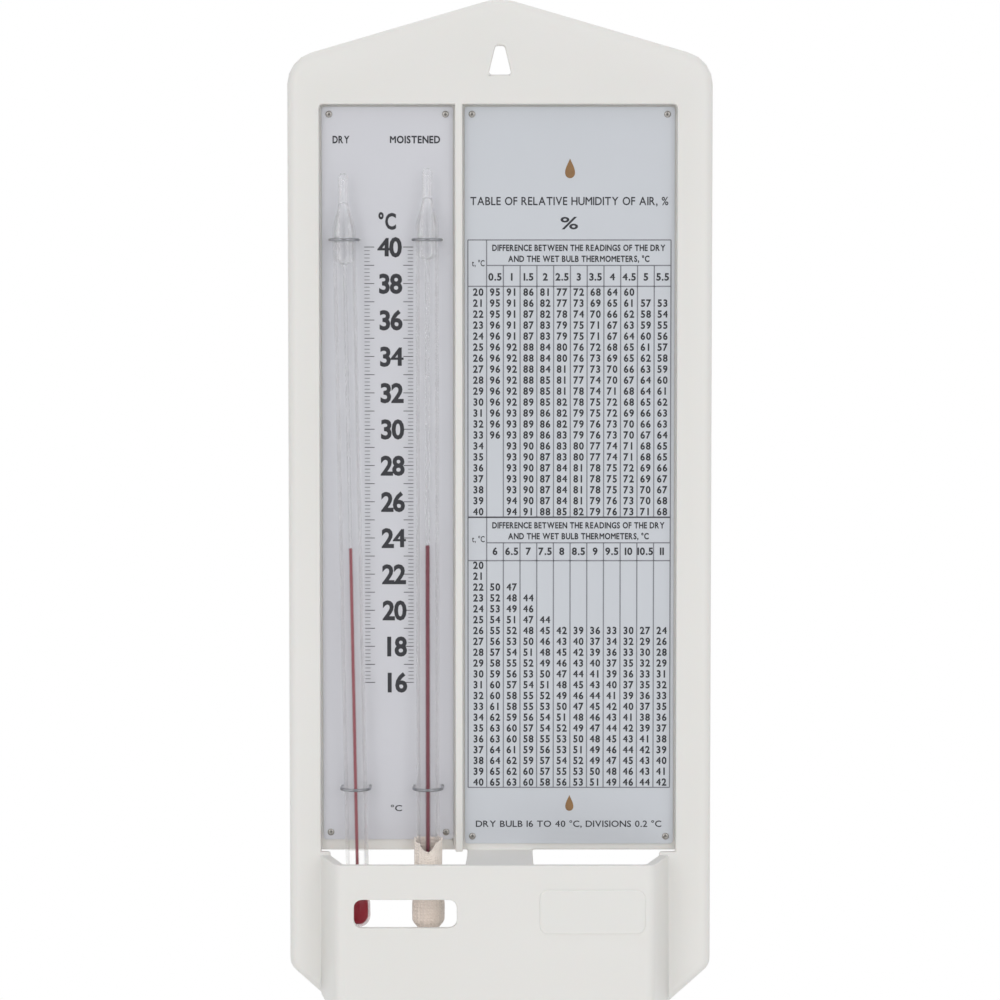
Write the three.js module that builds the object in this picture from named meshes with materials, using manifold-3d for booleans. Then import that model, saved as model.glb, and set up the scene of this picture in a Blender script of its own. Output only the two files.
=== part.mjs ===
// Wall-hung wet and dry bulb hygrometer with two spirit thermometers, a humidity table and a water feeder.
// Millimetres. +Z is up, the front looks along -Y, the wall is the plane Y = 0, and the origin is the point
// of the hanging hole that rests on the nail. A depth is a distance from the wall towards the front.

import * as THREE from 'three';
import { mergeVertices } from 'three/addons/utils/BufferGeometryUtils.js';
import Module from 'manifold-3d';

const wasm = await Module();
wasm.setup();

// Moulded base: outline, seen from the front
const baseWidth = 120;
const roofTop = 13.6;
const eavesDrop = 3.9;
const baseBottom = 277;
const cornerCutHeight = 15.5;
const cornerCutRun = 17.3;
const roofRadius = 16;
const eavesRadius = 9.3;
const cutRadius = 4.5;

// Moulded base: shell
const trayDepth = 32;
const wall = 2.2;
const edgeRadius = 2.6;
const pocketRise = 18;
const pocketLeft = 51;
const pocketRight = 48;
const pocketSideRun = 4.9;
const pocketRadius = 3.4;
const strapTop = 229.5;
const bridgeWidth = 18.6;

// Recess for the two plates, and the rib between them
const recessDepth = 4;
const recessLeft = 51;
const recessRight = 50;
const recessTop = 16.5;
const floorEnd = 228.6;
const recessRadius = 1.2;
const ribCentre = 11.65;
const ribWidth = 2.1;

// Window in the pocket
const windowLeft = 41;
const windowRight = 12.1;
const windowTop = 239.3;
const windowHeight = 7.9;
const windowRadius = 2.2;

// Hanging hole, a drop with its narrow end up
const holeHeight = 8.3;
const holeWidth = 6.6;
const holeTopRadius = 1.3;
const holeFootRadius = 0.9;
const holeTopShare = 0.75;
const holeCollarWall = 2;
const holeCollarHeight = 3;

// Stiffening ribs behind the recess
const backRibCount = 2;
const backRibWidth = 1.6;
const backRibHeight = 8;
const firstBackRib = 86;
const backRibPitch = 44;

// Printed plates
const plateThickness = 0.6;
const plateRadius = 0.8;
const plateMargin = 0.6;
const scalePlateBottom = 225.5;
const tablePlateBottom = 226.7;
const pinInset = 2.1;
const pinHeadRadius = 0.95;
const pinHeadHeight = 0.5;
const pinCrownRadiusShare = 0.8;
const pinCrownHeightShare = 0.75;
const pinRadius = 0.5;
const pinLength = 1.9;

// Thermometer tubes
const stemRadius = 3.3;
const bulbRadius = 3.5;
const bulbLength = 10;
const tubeLength = 212.5;
const neckRadius = 1.45;
const neckLength = 6.6;
const shoulderLength = 7.5;
const boreRadius = 1.05;
const cavityRadius = 2.8;
const cavityLength = 8.6;
const bulbGlass = 0.9;
const chamberRadius = 1.9;
const chamberLength = 9;
const tipBoreRadius = 0.6;
const tipHeight = 1.4;
const tipSpigotLength = 1.5;
const tipSpigotRadius = 0.3;
const liquidClearance = 0.25;
const wetTubeX = 20.5;
const wetBulbDrop = 248.6;
const dryBulbX = 40.3;
const dryTopX = 43.9;
const dryBulbDrop = 250;
const dryReading = 141.7;
const wetReading = 140.9;

// Wire staples over the tubes
const wireRadius = 0.45;
const upperStapleDrop = 54.6;
const lowerStapleDrop = 210.2;
const stapleTurnIn = 2.3;

// Cambric wick and its two thread ties
const wickTop = 224.6;
const clothThickness = 0.55;
const wickFlute = 0.16;
const wickFlutes = 8;
const wickNeckRadius = 2;
const wickTailRadius = 1.9;
const wickTailLength = 12;
const threadRadius = 0.25;
const threadPitch = 0.95;
const threadTurns = 3;
const upperTieDrop = 236.5;

// Glass feeder: a sealed reservoir leg and a short open leg, joined by a bend
const feederTubeRadius = 4.5;
const feederWall = 1;
const reservoirRadius = 7;
const reservoirTop = 152;
const reservoirShoulder = 262;
const reservoirShoulderLength = 6;
const feederMouthGap = 20;
const feederShortLeg = 12;
const waterBelowMouth = 3;
const airGapLength = 14;

// Spring clips that hold the reservoir, with their screws
const clipBand = 0.8;
const clipHeight = 8;
const clipOpening = 9.4;
const clipLipLength = 2.6;
const clipFootWidth = 8;
const clipStandOff = 2.3;
const upperClipDrop = 172;
const lowerClipDrop = 212;
const clipBossRadius = 4.4;
const clipBossHeight = 3;
const screwRadius = 1.25;
const screwLength = 4.2;
const screwHeadRadius = 2.5;
const screwHeadHeight = 1.2;
const screwCrownShare = 0.7;

// Clearances shared by several pieces
const fit = 0.3;
const overrun = 5;
const feederNotchClearance = 2.2;

// Facets
const roundSides = 20;
const wireSides = 6;
const arcSteps = 4;
const turnSteps = 24;
const mergeTolerance = 1e-4;

// Depths and places that follow from the sizes above
const halfWidth = baseWidth / 2;
const frontDepth = trayDepth + pocketRise;
const floorFront = trayDepth - recessDepth;
const floorBack = floorFront - wall;
const plateFront = floorFront + plateThickness;
const tubeStandOff = fit + clothThickness + wickFlute + fit;
const tubeDepth = plateFront + tubeStandOff + stemRadius;
const clipFace = floorBack - clipBossHeight;
const reservoirDepth = clipFace - clipBand - clipStandOff - reservoirRadius;
const mouthDrop = wetBulbDrop + feederMouthGap;
const bendDrop = mouthDrop + feederShortLeg;
const ribLeft = ribCentre + ribWidth / 2;
const ribRight = ribCentre - ribWidth / 2;
const wickOuter = stemRadius + fit + clothThickness;
const wickOverBulb = bulbRadius + fit + clothThickness;
const wickTailEnd = mouthDrop + wickTailLength;
const lowerTieDrop = wetBulbDrop + threadPitch * (1 + threadTurns / 2);

const colours = {
  plastic: { color: 0xe3e0dc, roughness: 0.45, metalness: 0 },
  plate: { color: 0xc7cbd0, roughness: 0.35, metalness: 0.5 },
  steel: { color: 0x9a9c9e, roughness: 0.35, metalness: 1 },
  glass: { color: 0xdfe8e8, roughness: 0.05, metalness: 0, transparent: true, opacity: 0.35 },
  spirit: { color: 0xa01224, roughness: 0.2, metalness: 0 },
  water: { color: 0xc9dde4, roughness: 0.05, metalness: 0, transparent: true, opacity: 0.5 },
  cloth: { color: 0xd8c8b4, roughness: 0.95, metalness: 0 },
  thread: { color: 0xcdb99c, roughness: 0.9, metalness: 0 },
};

// Helpers for shapes

function corner(x, z, radius = 0) {
  return { at: new THREE.Vector2(x, z), radius };
}

// Turns a polygon's corners into arcs of their own radius.
function roundedPoints(corners, steps = arcSteps) {
  const points = [];
  corners.forEach(({ at, radius }, i) => {
    if (radius === 0) {
      points.push(at.clone());
      return;
    }
    const before = corners.at(i - 1).at.clone().sub(at).normalize();
    const after = corners[(i + 1) % corners.length].at.clone().sub(at).normalize();
    const halfAngle = Math.acos(before.dot(after)) / 2;
    const bisector = before.clone().add(after).normalize();
    const centre = at.clone().addScaledVector(bisector, radius / Math.sin(halfAngle));
    const reach = radius / Math.tan(halfAngle);
    const start = at.clone().addScaledVector(before, reach).sub(centre);
    const end = at.clone().addScaledVector(after, reach).sub(centre);
    const sweepAngle = Math.atan2(start.cross(end), start.dot(end));
    for (let step = 0; step <= steps; step += 1) {
      const turned = start.clone().rotateAround(new THREE.Vector2(), (sweepAngle * step) / steps);
      points.push(turned.add(centre));
    }
  });
  return points;
}

function roundedShape(corners, steps) {
  return new THREE.Shape(roundedPoints(corners, steps));
}

// A rectangle between two drops below the origin, with round corners.
function plateShape(left, right, top, bottom, radius = 0, steps = arcSteps) {
  return roundedShape(
    [
      corner(left, -bottom, radius),
      corner(right, -bottom, radius),
      corner(right, -top, radius),
      corner(left, -top, radius),
    ],
    steps,
  );
}

function circleShape(radius, sides = roundSides) {
  const points = [];
  for (let side = 0; side < sides; side += 1) {
    const angle = (2 * Math.PI * side) / sides;
    points.push(new THREE.Vector2(radius * Math.cos(angle), radius * Math.sin(angle)));
  }
  return new THREE.Shape(points);
}

// Helpers for solids

// A front-view shape between two depths.
function slab(shape, fromDepth, toDepth) {
  const geometry = new THREE.ExtrudeGeometry(shape, { depth: toDepth - fromDepth, bevelEnabled: false });
  geometry.rotateX(Math.PI / 2);
  geometry.translate(0, -fromDepth, 0);
  return geometry;
}

// A front-view shape from the wall to a depth, with its front edge rounded.
function roundedSlab(shape, toDepth, radius) {
  const geometry = new THREE.ExtrudeGeometry(shape, {
    depth: toDepth,
    bevelThickness: radius,
    bevelSize: radius,
    bevelOffset: -radius,
    bevelSegments: 3,
  });
  geometry.rotateX(Math.PI / 2);
  geometry.translate(0, radius, 0);
  return geometry;
}

// A shape seen from above, given as x and depth, between two drops.
function column(shape, topDrop, bottomDrop) {
  const geometry = new THREE.ExtrudeGeometry(shape, { depth: bottomDrop - topDrop, bevelEnabled: false });
  geometry.rotateX(Math.PI);
  geometry.translate(0, 0, -topDrop);
  return geometry;
}

// A round solid about the vertical, from pairs of radius and height that run up the outside.
function turned(profile, sides = roundSides) {
  const points = profile.map(([radius, height]) => new THREE.Vector2(radius, height));
  const geometry = new THREE.LatheGeometry(points, sides);
  geometry.rotateX(Math.PI / 2);
  return geometry;
}

// A round solid about the front-to-back line, from pairs of radius and depth.
function turnedForward(profile, sides = roundSides) {
  const points = profile.map(([radius, depth]) => new THREE.Vector2(radius, depth));
  const geometry = new THREE.LatheGeometry(points, sides);
  geometry.rotateX(Math.PI);
  return geometry;
}

// A turned solid whose rows may carry a third value, the depth of soft folds that run down it.
function fluted(profile, folds) {
  const points = profile.map(([radius, height]) => new THREE.Vector2(radius, height));
  const geometry = new THREE.LatheGeometry(points, turnSteps);
  const position = geometry.attributes.position;
  for (let i = 0; i < position.count; i += 1) {
    const [radius, , fold = 0] = profile[i % profile.length];
    const angle = (2 * Math.PI * Math.floor(i / profile.length)) / turnSteps;
    const share = radius > 0 ? 1 + (fold / radius) * Math.cos(folds * angle) : 1;
    position.setX(i, position.getX(i) * share);
    position.setZ(i, position.getZ(i) * share);
  }
  geometry.rotateX(Math.PI / 2);
  return geometry;
}

function placed(geometry, x, depth, drop) {
  return geometry.translate(x, -depth, -drop);
}

// A round tube along a row of points.
function wire(points, radius, steps, sides = wireSides) {
  const path = new THREE.CurvePath();
  for (let i = 1; i < points.length; i += 1) {
    path.add(new THREE.LineCurve3(points[i - 1], points[i]));
  }
  const section = circleShape(radius, sides);
  return new THREE.ExtrudeGeometry(section, { steps, extrudePath: path, bevelEnabled: false });
}

function solid(geometry) {
  const bare = geometry.clone();
  bare.deleteAttribute('normal');
  bare.deleteAttribute('uv');
  const merged = mergeVertices(bare, mergeTolerance);
  const index = merged.index.array;
  const kept = [];
  for (let i = 0; i < index.length; i += 3) {
    const [a, b, c] = [index[i], index[i + 1], index[i + 2]];
    if (a !== b && b !== c && c !== a) kept.push(a, b, c);
  }
  return new wasm.Manifold(
    new wasm.Mesh({
      numProp: 3,
      vertProperties: new Float32Array(merged.attributes.position.array),
      triVerts: new Uint32Array(kept),
    }),
  );
}

function geometryOf(manifold) {
  const mesh = manifold.getMesh();
  const geometry = new THREE.BufferGeometry();
  geometry.setAttribute('position', new THREE.BufferAttribute(mesh.vertProperties, 3));
  geometry.setIndex(new THREE.BufferAttribute(mesh.triVerts, 1));
  geometry.computeVertexNormals();
  return geometry;
}

function joined(...geometries) {
  return geometries.map(solid).reduce((sum, next) => sum.add(next));
}

const group = new THREE.Group();

function addMesh(name, geometry, colour) {
  const mesh = new THREE.Mesh(geometry, new THREE.MeshStandardMaterial(colours[colour]));
  mesh.name = name;
  group.add(mesh);
  return mesh;
}

// Thermometers: both tubes are alike; the dry one leans a little, as it was fitted
const thermometers = [
  { name: 'dry', bulbX: -dryBulbX, bulbDrop: dryBulbDrop, reading: dryReading, lean: dryTopX - dryBulbX },
  { name: 'wet', bulbX: -wetTubeX, bulbDrop: wetBulbDrop, reading: wetReading, lean: 0 },
].map((tube) => {
  const angle = Math.atan2(tube.lean, tube.bulbDrop - upperStapleDrop);
  const axisAt = (drop) => tube.bulbX - (tube.bulbDrop - drop) * Math.tan(angle);
  return { ...tube, angle, axisAt };
});

const staples = thermometers.flatMap((tube) => [
  { name: `${tube.name}_upper_staple`, x: tube.axisAt(upperStapleDrop), drop: upperStapleDrop },
  { name: `${tube.name}_lower_staple`, x: tube.axisAt(lowerStapleDrop), drop: lowerStapleDrop },
]);
const stapleReach = stemRadius + fit + wireRadius;

// The hole for each staple leg goes through plate and floor alike.
function stapleHoles(fromDepth, toDepth) {
  const hole = circleShape(wireRadius + fit, wireSides * 2);
  return staples.flatMap(({ x, drop }) =>
    [-stapleReach, stapleReach].map((side) => placed(slab(hole, fromDepth, toDepth), x + side, 0, drop)),
  );
}

// Plates and their pins
const plates = [
  { name: 'scale_plate', from: -recessLeft, to: -ribLeft, bottom: scalePlateBottom },
  { name: 'table_plate', from: -ribRight, to: recessRight, bottom: tablePlateBottom },
].map(({ name, from, to, bottom }) => ({
  name,
  bottom,
  left: from + plateMargin,
  right: to - plateMargin,
  top: recessTop + plateMargin,
}));

const pins = plates.flatMap(({ name, left, right, top, bottom }) => [
  { name: `${name}_pin_1`, x: left + pinInset, drop: top + pinInset },
  { name: `${name}_pin_2`, x: right - pinInset, drop: top + pinInset },
  { name: `${name}_pin_3`, x: right - pinInset, drop: bottom - pinInset },
  { name: `${name}_pin_4`, x: left + pinInset, drop: bottom - pinInset },
]);

function pinHoles(fromDepth, toDepth) {
  const hole = circleShape(pinRadius + fit, wireSides * 2);
  return pins.map(({ x, drop }) => placed(slab(hole, fromDepth, toDepth), x, 0, drop));
}

function baseOutline(inset) {
  const slope = Math.atan2(roofTop + eavesDrop, halfWidth);
  const cutSlope = Math.atan2(cornerCutHeight, cornerCutRun);
  const side = halfWidth - inset;
  const roof = roofTop - inset / Math.cos(slope);
  const eaves = roof - side * Math.tan(slope);
  const cutStart = -(baseBottom - cornerCutHeight) + inset * Math.tan(cutSlope / 2);
  const cutEnd = halfWidth - cornerCutRun - inset * Math.tan((Math.PI / 2 - cutSlope) / 2);
  const bottom = -baseBottom + inset;
  const eavesArc = eavesRadius - inset;
  return roundedShape([
    corner(-cutEnd, bottom, cutRadius - inset),
    corner(cutEnd, bottom, cutRadius - inset),
    corner(side, cutStart, cutRadius - inset),
    corner(side, eaves, eavesArc),
    corner(0, roof, roofRadius - inset),
    corner(-side, eaves, eavesArc),
    corner(-side, cutStart, cutRadius - inset),
  ]);
}

// The pocket's section from above; its sides lean in towards the front.
function pocketShape(inset, back) {
  const front = frontDepth - inset;
  const frontLeft = -pocketLeft + pocketSideRun + inset;
  const frontRight = pocketRight - pocketSideRun - inset;
  return roundedShape([
    corner(-pocketLeft + inset, back),
    corner(-pocketLeft + inset, trayDepth - inset),
    corner(frontLeft, front, pocketRadius - inset),
    corner(frontRight, front, pocketRadius - inset),
    corner(pocketRight - inset, trayDepth - inset),
    corner(pocketRight - inset, back),
  ]);
}

function holeShape(margin) {
  const half = holeWidth / 2 + margin;
  const topHalf = holeTopRadius + margin;
  return roundedShape([
    corner(-half, -holeHeight - margin, holeFootRadius + margin),
    corner(half, -holeHeight - margin, holeFootRadius + margin),
    corner(topHalf, margin, topHalf * holeTopShare),
    corner(-topHalf, margin, topHalf * holeTopShare),
  ]);
}

function buildBase() {
  const outline = baseOutline(0);
  const pocketBack = trayDepth - wall;
  const everywhere = plateShape(-baseWidth, baseWidth, -baseWidth, baseBottom + baseWidth);
  const behindWall = solid(slab(everywhere, -baseWidth, 0));

  // Outer body and its hollow
  const pocketOuter = solid(column(pocketShape(0, pocketBack), strapTop, baseBottom));
  const trimmedPocket = pocketOuter.intersect(solid(slab(outline, 0, frontDepth + overrun)));
  const hollow = solid(slab(baseOutline(wall), -overrun, pocketBack));
  const pocketHollow = solid(column(pocketShape(wall, floorBack), floorEnd, baseBottom - wall));
  const trimmedHollow = pocketHollow.intersect(solid(slab(baseOutline(wall), 0, frontDepth)));
  let body = solid(roundedSlab(outline, trayDepth, edgeRadius)).add(trimmedPocket);
  body = body.subtract(behindWall).subtract(hollow).subtract(trimmedHollow);

  // Recess pan with the rib that parts the two plates
  const panLeft = -recessLeft - wall;
  const panRight = recessRight + wall;
  const pan = solid(slab(plateShape(panLeft, panRight, recessTop - wall, floorEnd), floorBack, trayDepth));
  const recess = plateShape(-recessLeft, recessRight, recessTop, floorEnd + overrun, recessRadius);
  const recessCut = solid(slab(recess, floorFront, trayDepth + overrun));
  const aboveSlots = plateShape(-baseWidth, baseWidth, 0, floorEnd);
  body = body.add(pan).subtract(recessCut.intersect(solid(slab(aboveSlots, 0, frontDepth))));
  const rib = plateShape(-ribLeft, -ribRight, recessTop - wall, floorEnd);
  body = body.add(solid(slab(rib, floorBack, trayDepth)));

  // Bridge between the slots, from the recess floor to the strap
  const bridgeSide = roundedShape([
    corner(floorBack, -floorEnd + wall),
    corner(floorBack, -floorEnd - wall),
    corner(frontDepth - wall / 2, -strapTop - wall),
    corner(frontDepth - wall / 2, -strapTop),
    corner(floorFront, -floorEnd),
    corner(floorFront, -floorEnd + wall),
  ]);
  const bridge = new THREE.ExtrudeGeometry(bridgeSide, { depth: bridgeWidth, bevelEnabled: false });
  bridge.rotateX(Math.PI / 2);
  bridge.rotateZ(-Math.PI / 2);
  body = body.add(solid(bridge.translate(bridgeWidth / 2, 0, 0)));

  // Ribs, collar and clip bosses on the back
  for (let i = 0; i < backRibCount; i += 1) {
    const drop = firstBackRib + i * backRibPitch;
    const backRib = plateShape(-halfWidth + wall / 2, halfWidth - wall / 2, drop, drop + backRibWidth);
    body = body.add(solid(slab(backRib, floorBack - backRibHeight, floorBack + wall / 2)));
  }
  body = body.add(solid(slab(holeShape(holeCollarWall), trayDepth - wall - holeCollarHeight, trayDepth - wall)));
  for (const drop of [upperClipDrop, lowerClipDrop]) {
    body = body.add(solid(placed(slab(circleShape(clipBossRadius), clipFace, floorBack), 0, 0, drop)));
  }

  // Holes
  const windowBottom = windowTop + windowHeight;
  const windowShape = plateShape(-windowLeft, -windowRight, windowTop, windowBottom, windowRadius);
  const notchLeft = -wetTubeX - feederTubeRadius - feederNotchClearance;
  const notchRight = reservoirRadius + feederNotchClearance;
  const notchFront = tubeDepth + feederTubeRadius + feederNotchClearance;
  const notch = plateShape(notchLeft, notchRight, baseBottom - wall - overrun, baseBottom + overrun);
  const screwHole = circleShape(screwRadius + fit, wireSides * 2);
  const cuts = [
    slab(windowShape, frontDepth - wall - overrun, frontDepth + overrun),
    slab(holeShape(0), 0, trayDepth + overrun),
    slab(notch, -overrun, notchFront),
    ...[upperClipDrop, lowerClipDrop].map((drop) =>
      placed(slab(screwHole, clipFace - overrun, clipFace + screwLength), 0, 0, drop),
    ),
    ...stapleHoles(floorBack - overrun, floorFront + overrun),
    ...pinHoles(floorBack - overrun, floorFront + overrun),
  ];
  for (const cut of cuts) body = body.subtract(solid(cut));
  addMesh('base', geometryOf(body), 'plastic');
}

function buildPlates() {
  const holes = [
    ...stapleHoles(floorFront - overrun, plateFront + overrun),
    ...pinHoles(floorFront - overrun, plateFront + overrun),
  ].map(solid);
  for (const { name, left, right, top, bottom } of plates) {
    let plate = solid(slab(plateShape(left, right, top, bottom, plateRadius), floorFront, plateFront));
    for (const hole of holes) plate = plate.subtract(hole);
    addMesh(name, geometryOf(plate), 'plate');
  }
  for (const { name, x, drop } of pins) {
    const seat = plateFront;
    const profile = [
      [0, seat - plateThickness - pinLength],
      [pinRadius, seat - plateThickness - pinLength],
      [pinRadius, seat],
      [pinHeadRadius, seat],
      [pinHeadRadius * pinCrownRadiusShare, seat + pinHeadHeight * pinCrownHeightShare],
      [0, seat + pinHeadHeight],
    ];
    addMesh(name, placed(turnedForward(profile, wireSides * 2), x, 0, drop), 'steel');
  }
}

// Half an ellipse between two points of a profile, for domes and tapers.
function quarter(fromRadius, fromHeight, toRadius, toHeight, bulgeFirst, steps = arcSteps) {
  const points = [];
  for (let step = 1; step < steps; step += 1) {
    const angle = (Math.PI / 2) * (step / steps);
    const [rise, run] = [Math.sin(angle), 1 - Math.cos(angle)];
    const [near, far] = bulgeFirst ? [rise, run] : [run, rise];
    points.push([fromRadius + (toRadius - fromRadius) * near, fromHeight + (toHeight - fromHeight) * far]);
  }
  return points;
}

function buildThermometer(tube) {
  // Heights run up from the bulb's lowest point.
  const neckBase = tubeLength - neckLength;
  const shoulderBase = neckBase - shoulderLength;
  const bulbTop = bulbLength;
  const cavityTop = bulbGlass + cavityLength;
  const chamberBase = shoulderBase - chamberLength;
  const outside = [
    [0, 0],
    ...quarter(0, 0, bulbRadius, bulbRadius, true),
    [bulbRadius, bulbRadius],
    [bulbRadius, bulbTop - bulbRadius],
    [stemRadius, bulbTop],
    [stemRadius, shoulderBase],
    ...quarter(stemRadius, shoulderBase, neckRadius, neckBase, false),
    [neckRadius, neckBase],
    [neckRadius, tubeLength],
  ];
  const inside = [
    [tipBoreRadius, tubeLength],
    [tipBoreRadius, neckBase],
    [chamberRadius, shoulderBase],
    [chamberRadius, chamberBase + chamberRadius],
    [boreRadius, chamberBase],
    [boreRadius, cavityTop],
    [cavityRadius, bulbGlass + cavityRadius],
    ...quarter(cavityRadius, bulbGlass + cavityRadius, 0, bulbGlass, false),
    [0, bulbGlass],
  ];
  const columnTop = tube.bulbDrop - tube.reading;
  const liquidRadius = cavityRadius - liquidClearance;
  const threadColumn = boreRadius - liquidClearance;
  const liquidBase = bulbGlass + liquidClearance;
  const liquid = [
    [0, liquidBase],
    ...quarter(0, liquidBase, liquidRadius, liquidBase + liquidRadius, true),
    [liquidRadius, liquidBase + liquidRadius],
    [threadColumn, cavityTop],
    [threadColumn, columnTop],
    [0, columnTop],
  ];
  const seat = tubeLength + fit;
  const tip = [
    [0, seat - tipSpigotLength],
    [tipSpigotRadius, seat - tipSpigotLength],
    [tipSpigotRadius, seat],
    [neckRadius, seat],
    ...quarter(neckRadius, seat, 0, seat + tipHeight, false),
    [0, seat + tipHeight],
  ];
  const pieces = [
    ['glass', turned([...outside, ...inside]), 'glass'],
    ['spirit', turned(liquid, roundSides / 2), 'spirit'],
    ['sealed_tip', turned(tip, roundSides / 2), 'glass'],
  ];
  for (const [piece, geometry, colour] of pieces) {
    const mesh = addMesh(`${tube.name}_thermometer_${piece}`, geometry, colour);
    mesh.rotation.y = -tube.angle;
    mesh.position.set(tube.bulbX, -tubeDepth, -tube.bulbDrop);
  }
}

function buildStaples() {
  const legEnd = floorBack - fit - wireRadius;
  for (const { name, x, drop } of staples) {
    const at = (side, depth) => new THREE.Vector3(side, -depth, 0);
    const turnIn = stapleReach - stapleTurnIn;
    const points = [at(-turnIn, legEnd), at(-stapleReach, legEnd), at(-stapleReach, tubeDepth)];
    for (let step = 1; step < arcSteps * 2; step += 1) {
      const angle = Math.PI * (step / (arcSteps * 2));
      points.push(at(-stapleReach * Math.cos(angle), tubeDepth + stapleReach * Math.sin(angle)));
    }
    points.push(at(stapleReach, tubeDepth), at(stapleReach, legEnd), at(turnIn, legEnd));
    addMesh(name, wire(points, wireRadius, arcSteps * 8), 'steel').position.set(x, 0, -drop);
  }
}

function buildWick() {
  const bulbStart = wetBulbDrop - bulbLength;
  const neckDrop = wetBulbDrop + threadPitch;
  const inner = stemRadius + fit;
  const innerBulb = bulbRadius + fit;
  const flutedRow = (row) => [...row, wickFlute];
  const outside = [
    [0, -wickTailEnd],
    [wickTailRadius, -wickTailEnd],
    [wickTailRadius, -mouthDrop + waterBelowMouth, wickFlute],
    [wickNeckRadius, -neckDrop - threadPitch * (threadTurns + 1)],
    [wickNeckRadius, -neckDrop],
    ...quarter(wickNeckRadius, -neckDrop, wickOverBulb, -wetBulbDrop + bulbRadius, true).map(flutedRow),
    [wickOverBulb, -wetBulbDrop + bulbRadius, wickFlute],
    [wickOverBulb, -bulbStart - bulbRadius, wickFlute],
    [wickOuter, -upperTieDrop - threadPitch * threadTurns],
    [wickOuter, -upperTieDrop + threadPitch * threadTurns],
    [wickOuter, -upperTieDrop + threadPitch * threadTurns * 2, wickFlute],
    [wickOuter, -wickTop, wickFlute],
  ];
  const inside = [
    [inner, -wickTop],
    [inner, -bulbStart],
    [innerBulb, -bulbStart - bulbRadius],
    [innerBulb, -wetBulbDrop + bulbRadius],
    ...quarter(innerBulb, -wetBulbDrop + bulbRadius, 0, -wetBulbDrop - fit, false),
    [0, -wetBulbDrop - fit],
  ];
  const wick = fluted([...outside, ...inside], wickFlutes);
  addMesh('wick', placed(wick, -wetTubeX, tubeDepth, 0), 'cloth');
}

// The narrowest space between turns of a winding, measured on the points of its centre line.
function leastGap(points, radius) {
  let least = Infinity;
  points.forEach((point, i) => {
    for (const other of points.slice(i + turnSteps / 2)) least = Math.min(least, point.distanceTo(other));
  });
  return least - 2 * radius;
}

// A thread wound round the wick as one helix.
function buildTie(name, middleDrop, radius) {
  const steps = turnSteps * threadTurns;
  const points = [];
  for (let step = 0; step <= steps; step += 1) {
    const turn = step / turnSteps;
    const angle = 2 * Math.PI * turn;
    const climb = (turn - threadTurns / 2) * threadPitch;
    points.push(new THREE.Vector3(radius * Math.cos(angle), radius * Math.sin(angle), climb));
  }
  console.log(`${name}: least gap between turns ${leastGap(points, threadRadius).toFixed(2)} mm`);
  addMesh(name, wire(points, threadRadius, steps), 'thread').position.set(-wetTubeX, -tubeDepth, -middleDrop);
}

// Centreline of the feeder's bend, from the short leg down and up into the reservoir.
function feederPoints(mouth, top) {
  const shortLeg = new THREE.Vector2(-wetTubeX, -tubeDepth);
  const longLeg = new THREE.Vector2(0, -reservoirDepth);
  const middle = shortLeg.clone().add(longLeg).divideScalar(2);
  const reach = shortLeg.distanceTo(longLeg) / 2;
  const across = longLeg.clone().sub(shortLeg).normalize();
  const points = [new THREE.Vector3(shortLeg.x, shortLeg.y, -mouth)];
  const steps = arcSteps * 3;
  for (let step = 0; step <= steps; step += 1) {
    const angle = Math.PI * (step / steps);
    const at = middle.clone().addScaledVector(across, -reach * Math.cos(angle));
    points.push(new THREE.Vector3(at.x, at.y, -bendDrop - reach * Math.sin(angle)));
  }
  points.push(new THREE.Vector3(longLeg.x, longLeg.y, -top));
  return points;
}

function reservoirProfile(skin, top, tubeRadius) {
  const radius = reservoirRadius - skin;
  const shoulder = -reservoirShoulder;
  return [
    [0, shoulder - reservoirShoulderLength],
    [tubeRadius, shoulder - reservoirShoulderLength],
    [radius, shoulder],
    [radius, top - radius],
    ...quarter(radius, top - radius, 0, top, false),
    [0, top],
  ];
}

function buildFeeder() {
  const steps = roundSides;
  const bore = feederTubeRadius - feederWall;
  const reservoirAt = (profile) => placed(turned(profile), 0, reservoirDepth, 0);
  const outer = joined(
    wire(feederPoints(mouthDrop, reservoirShoulder), feederTubeRadius, steps, roundSides),
    reservoirAt(reservoirProfile(0, -reservoirTop, feederTubeRadius)),
  );
  const inner = joined(
    wire(feederPoints(mouthDrop - overrun, reservoirShoulder), bore, steps, roundSides),
    reservoirAt(reservoirProfile(feederWall, -reservoirTop - feederWall, bore)),
  );
  addMesh('feeder_glass', geometryOf(outer.subtract(inner)), 'glass');

  const waterTop = -reservoirTop - feederWall - airGapLength;
  const waterProfile = reservoirProfile(feederWall + fit, waterTop, bore - fit);
  const surface = mouthDrop + waterBelowMouth;
  const well = turned([
    [0, -wickTailEnd - fit],
    [wickTailRadius + fit, -wickTailEnd - fit],
    [wickTailRadius + fit, -surface + overrun],
    [0, -surface + overrun],
  ]);
  const bend = wire(feederPoints(surface, reservoirShoulder), bore - fit, steps, roundSides);
  const water = joined(bend, reservoirAt(waterProfile));
  addMesh('feeder_water', geometryOf(water.subtract(solid(placed(well, -wetTubeX, tubeDepth, 0)))), 'water');
}

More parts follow.
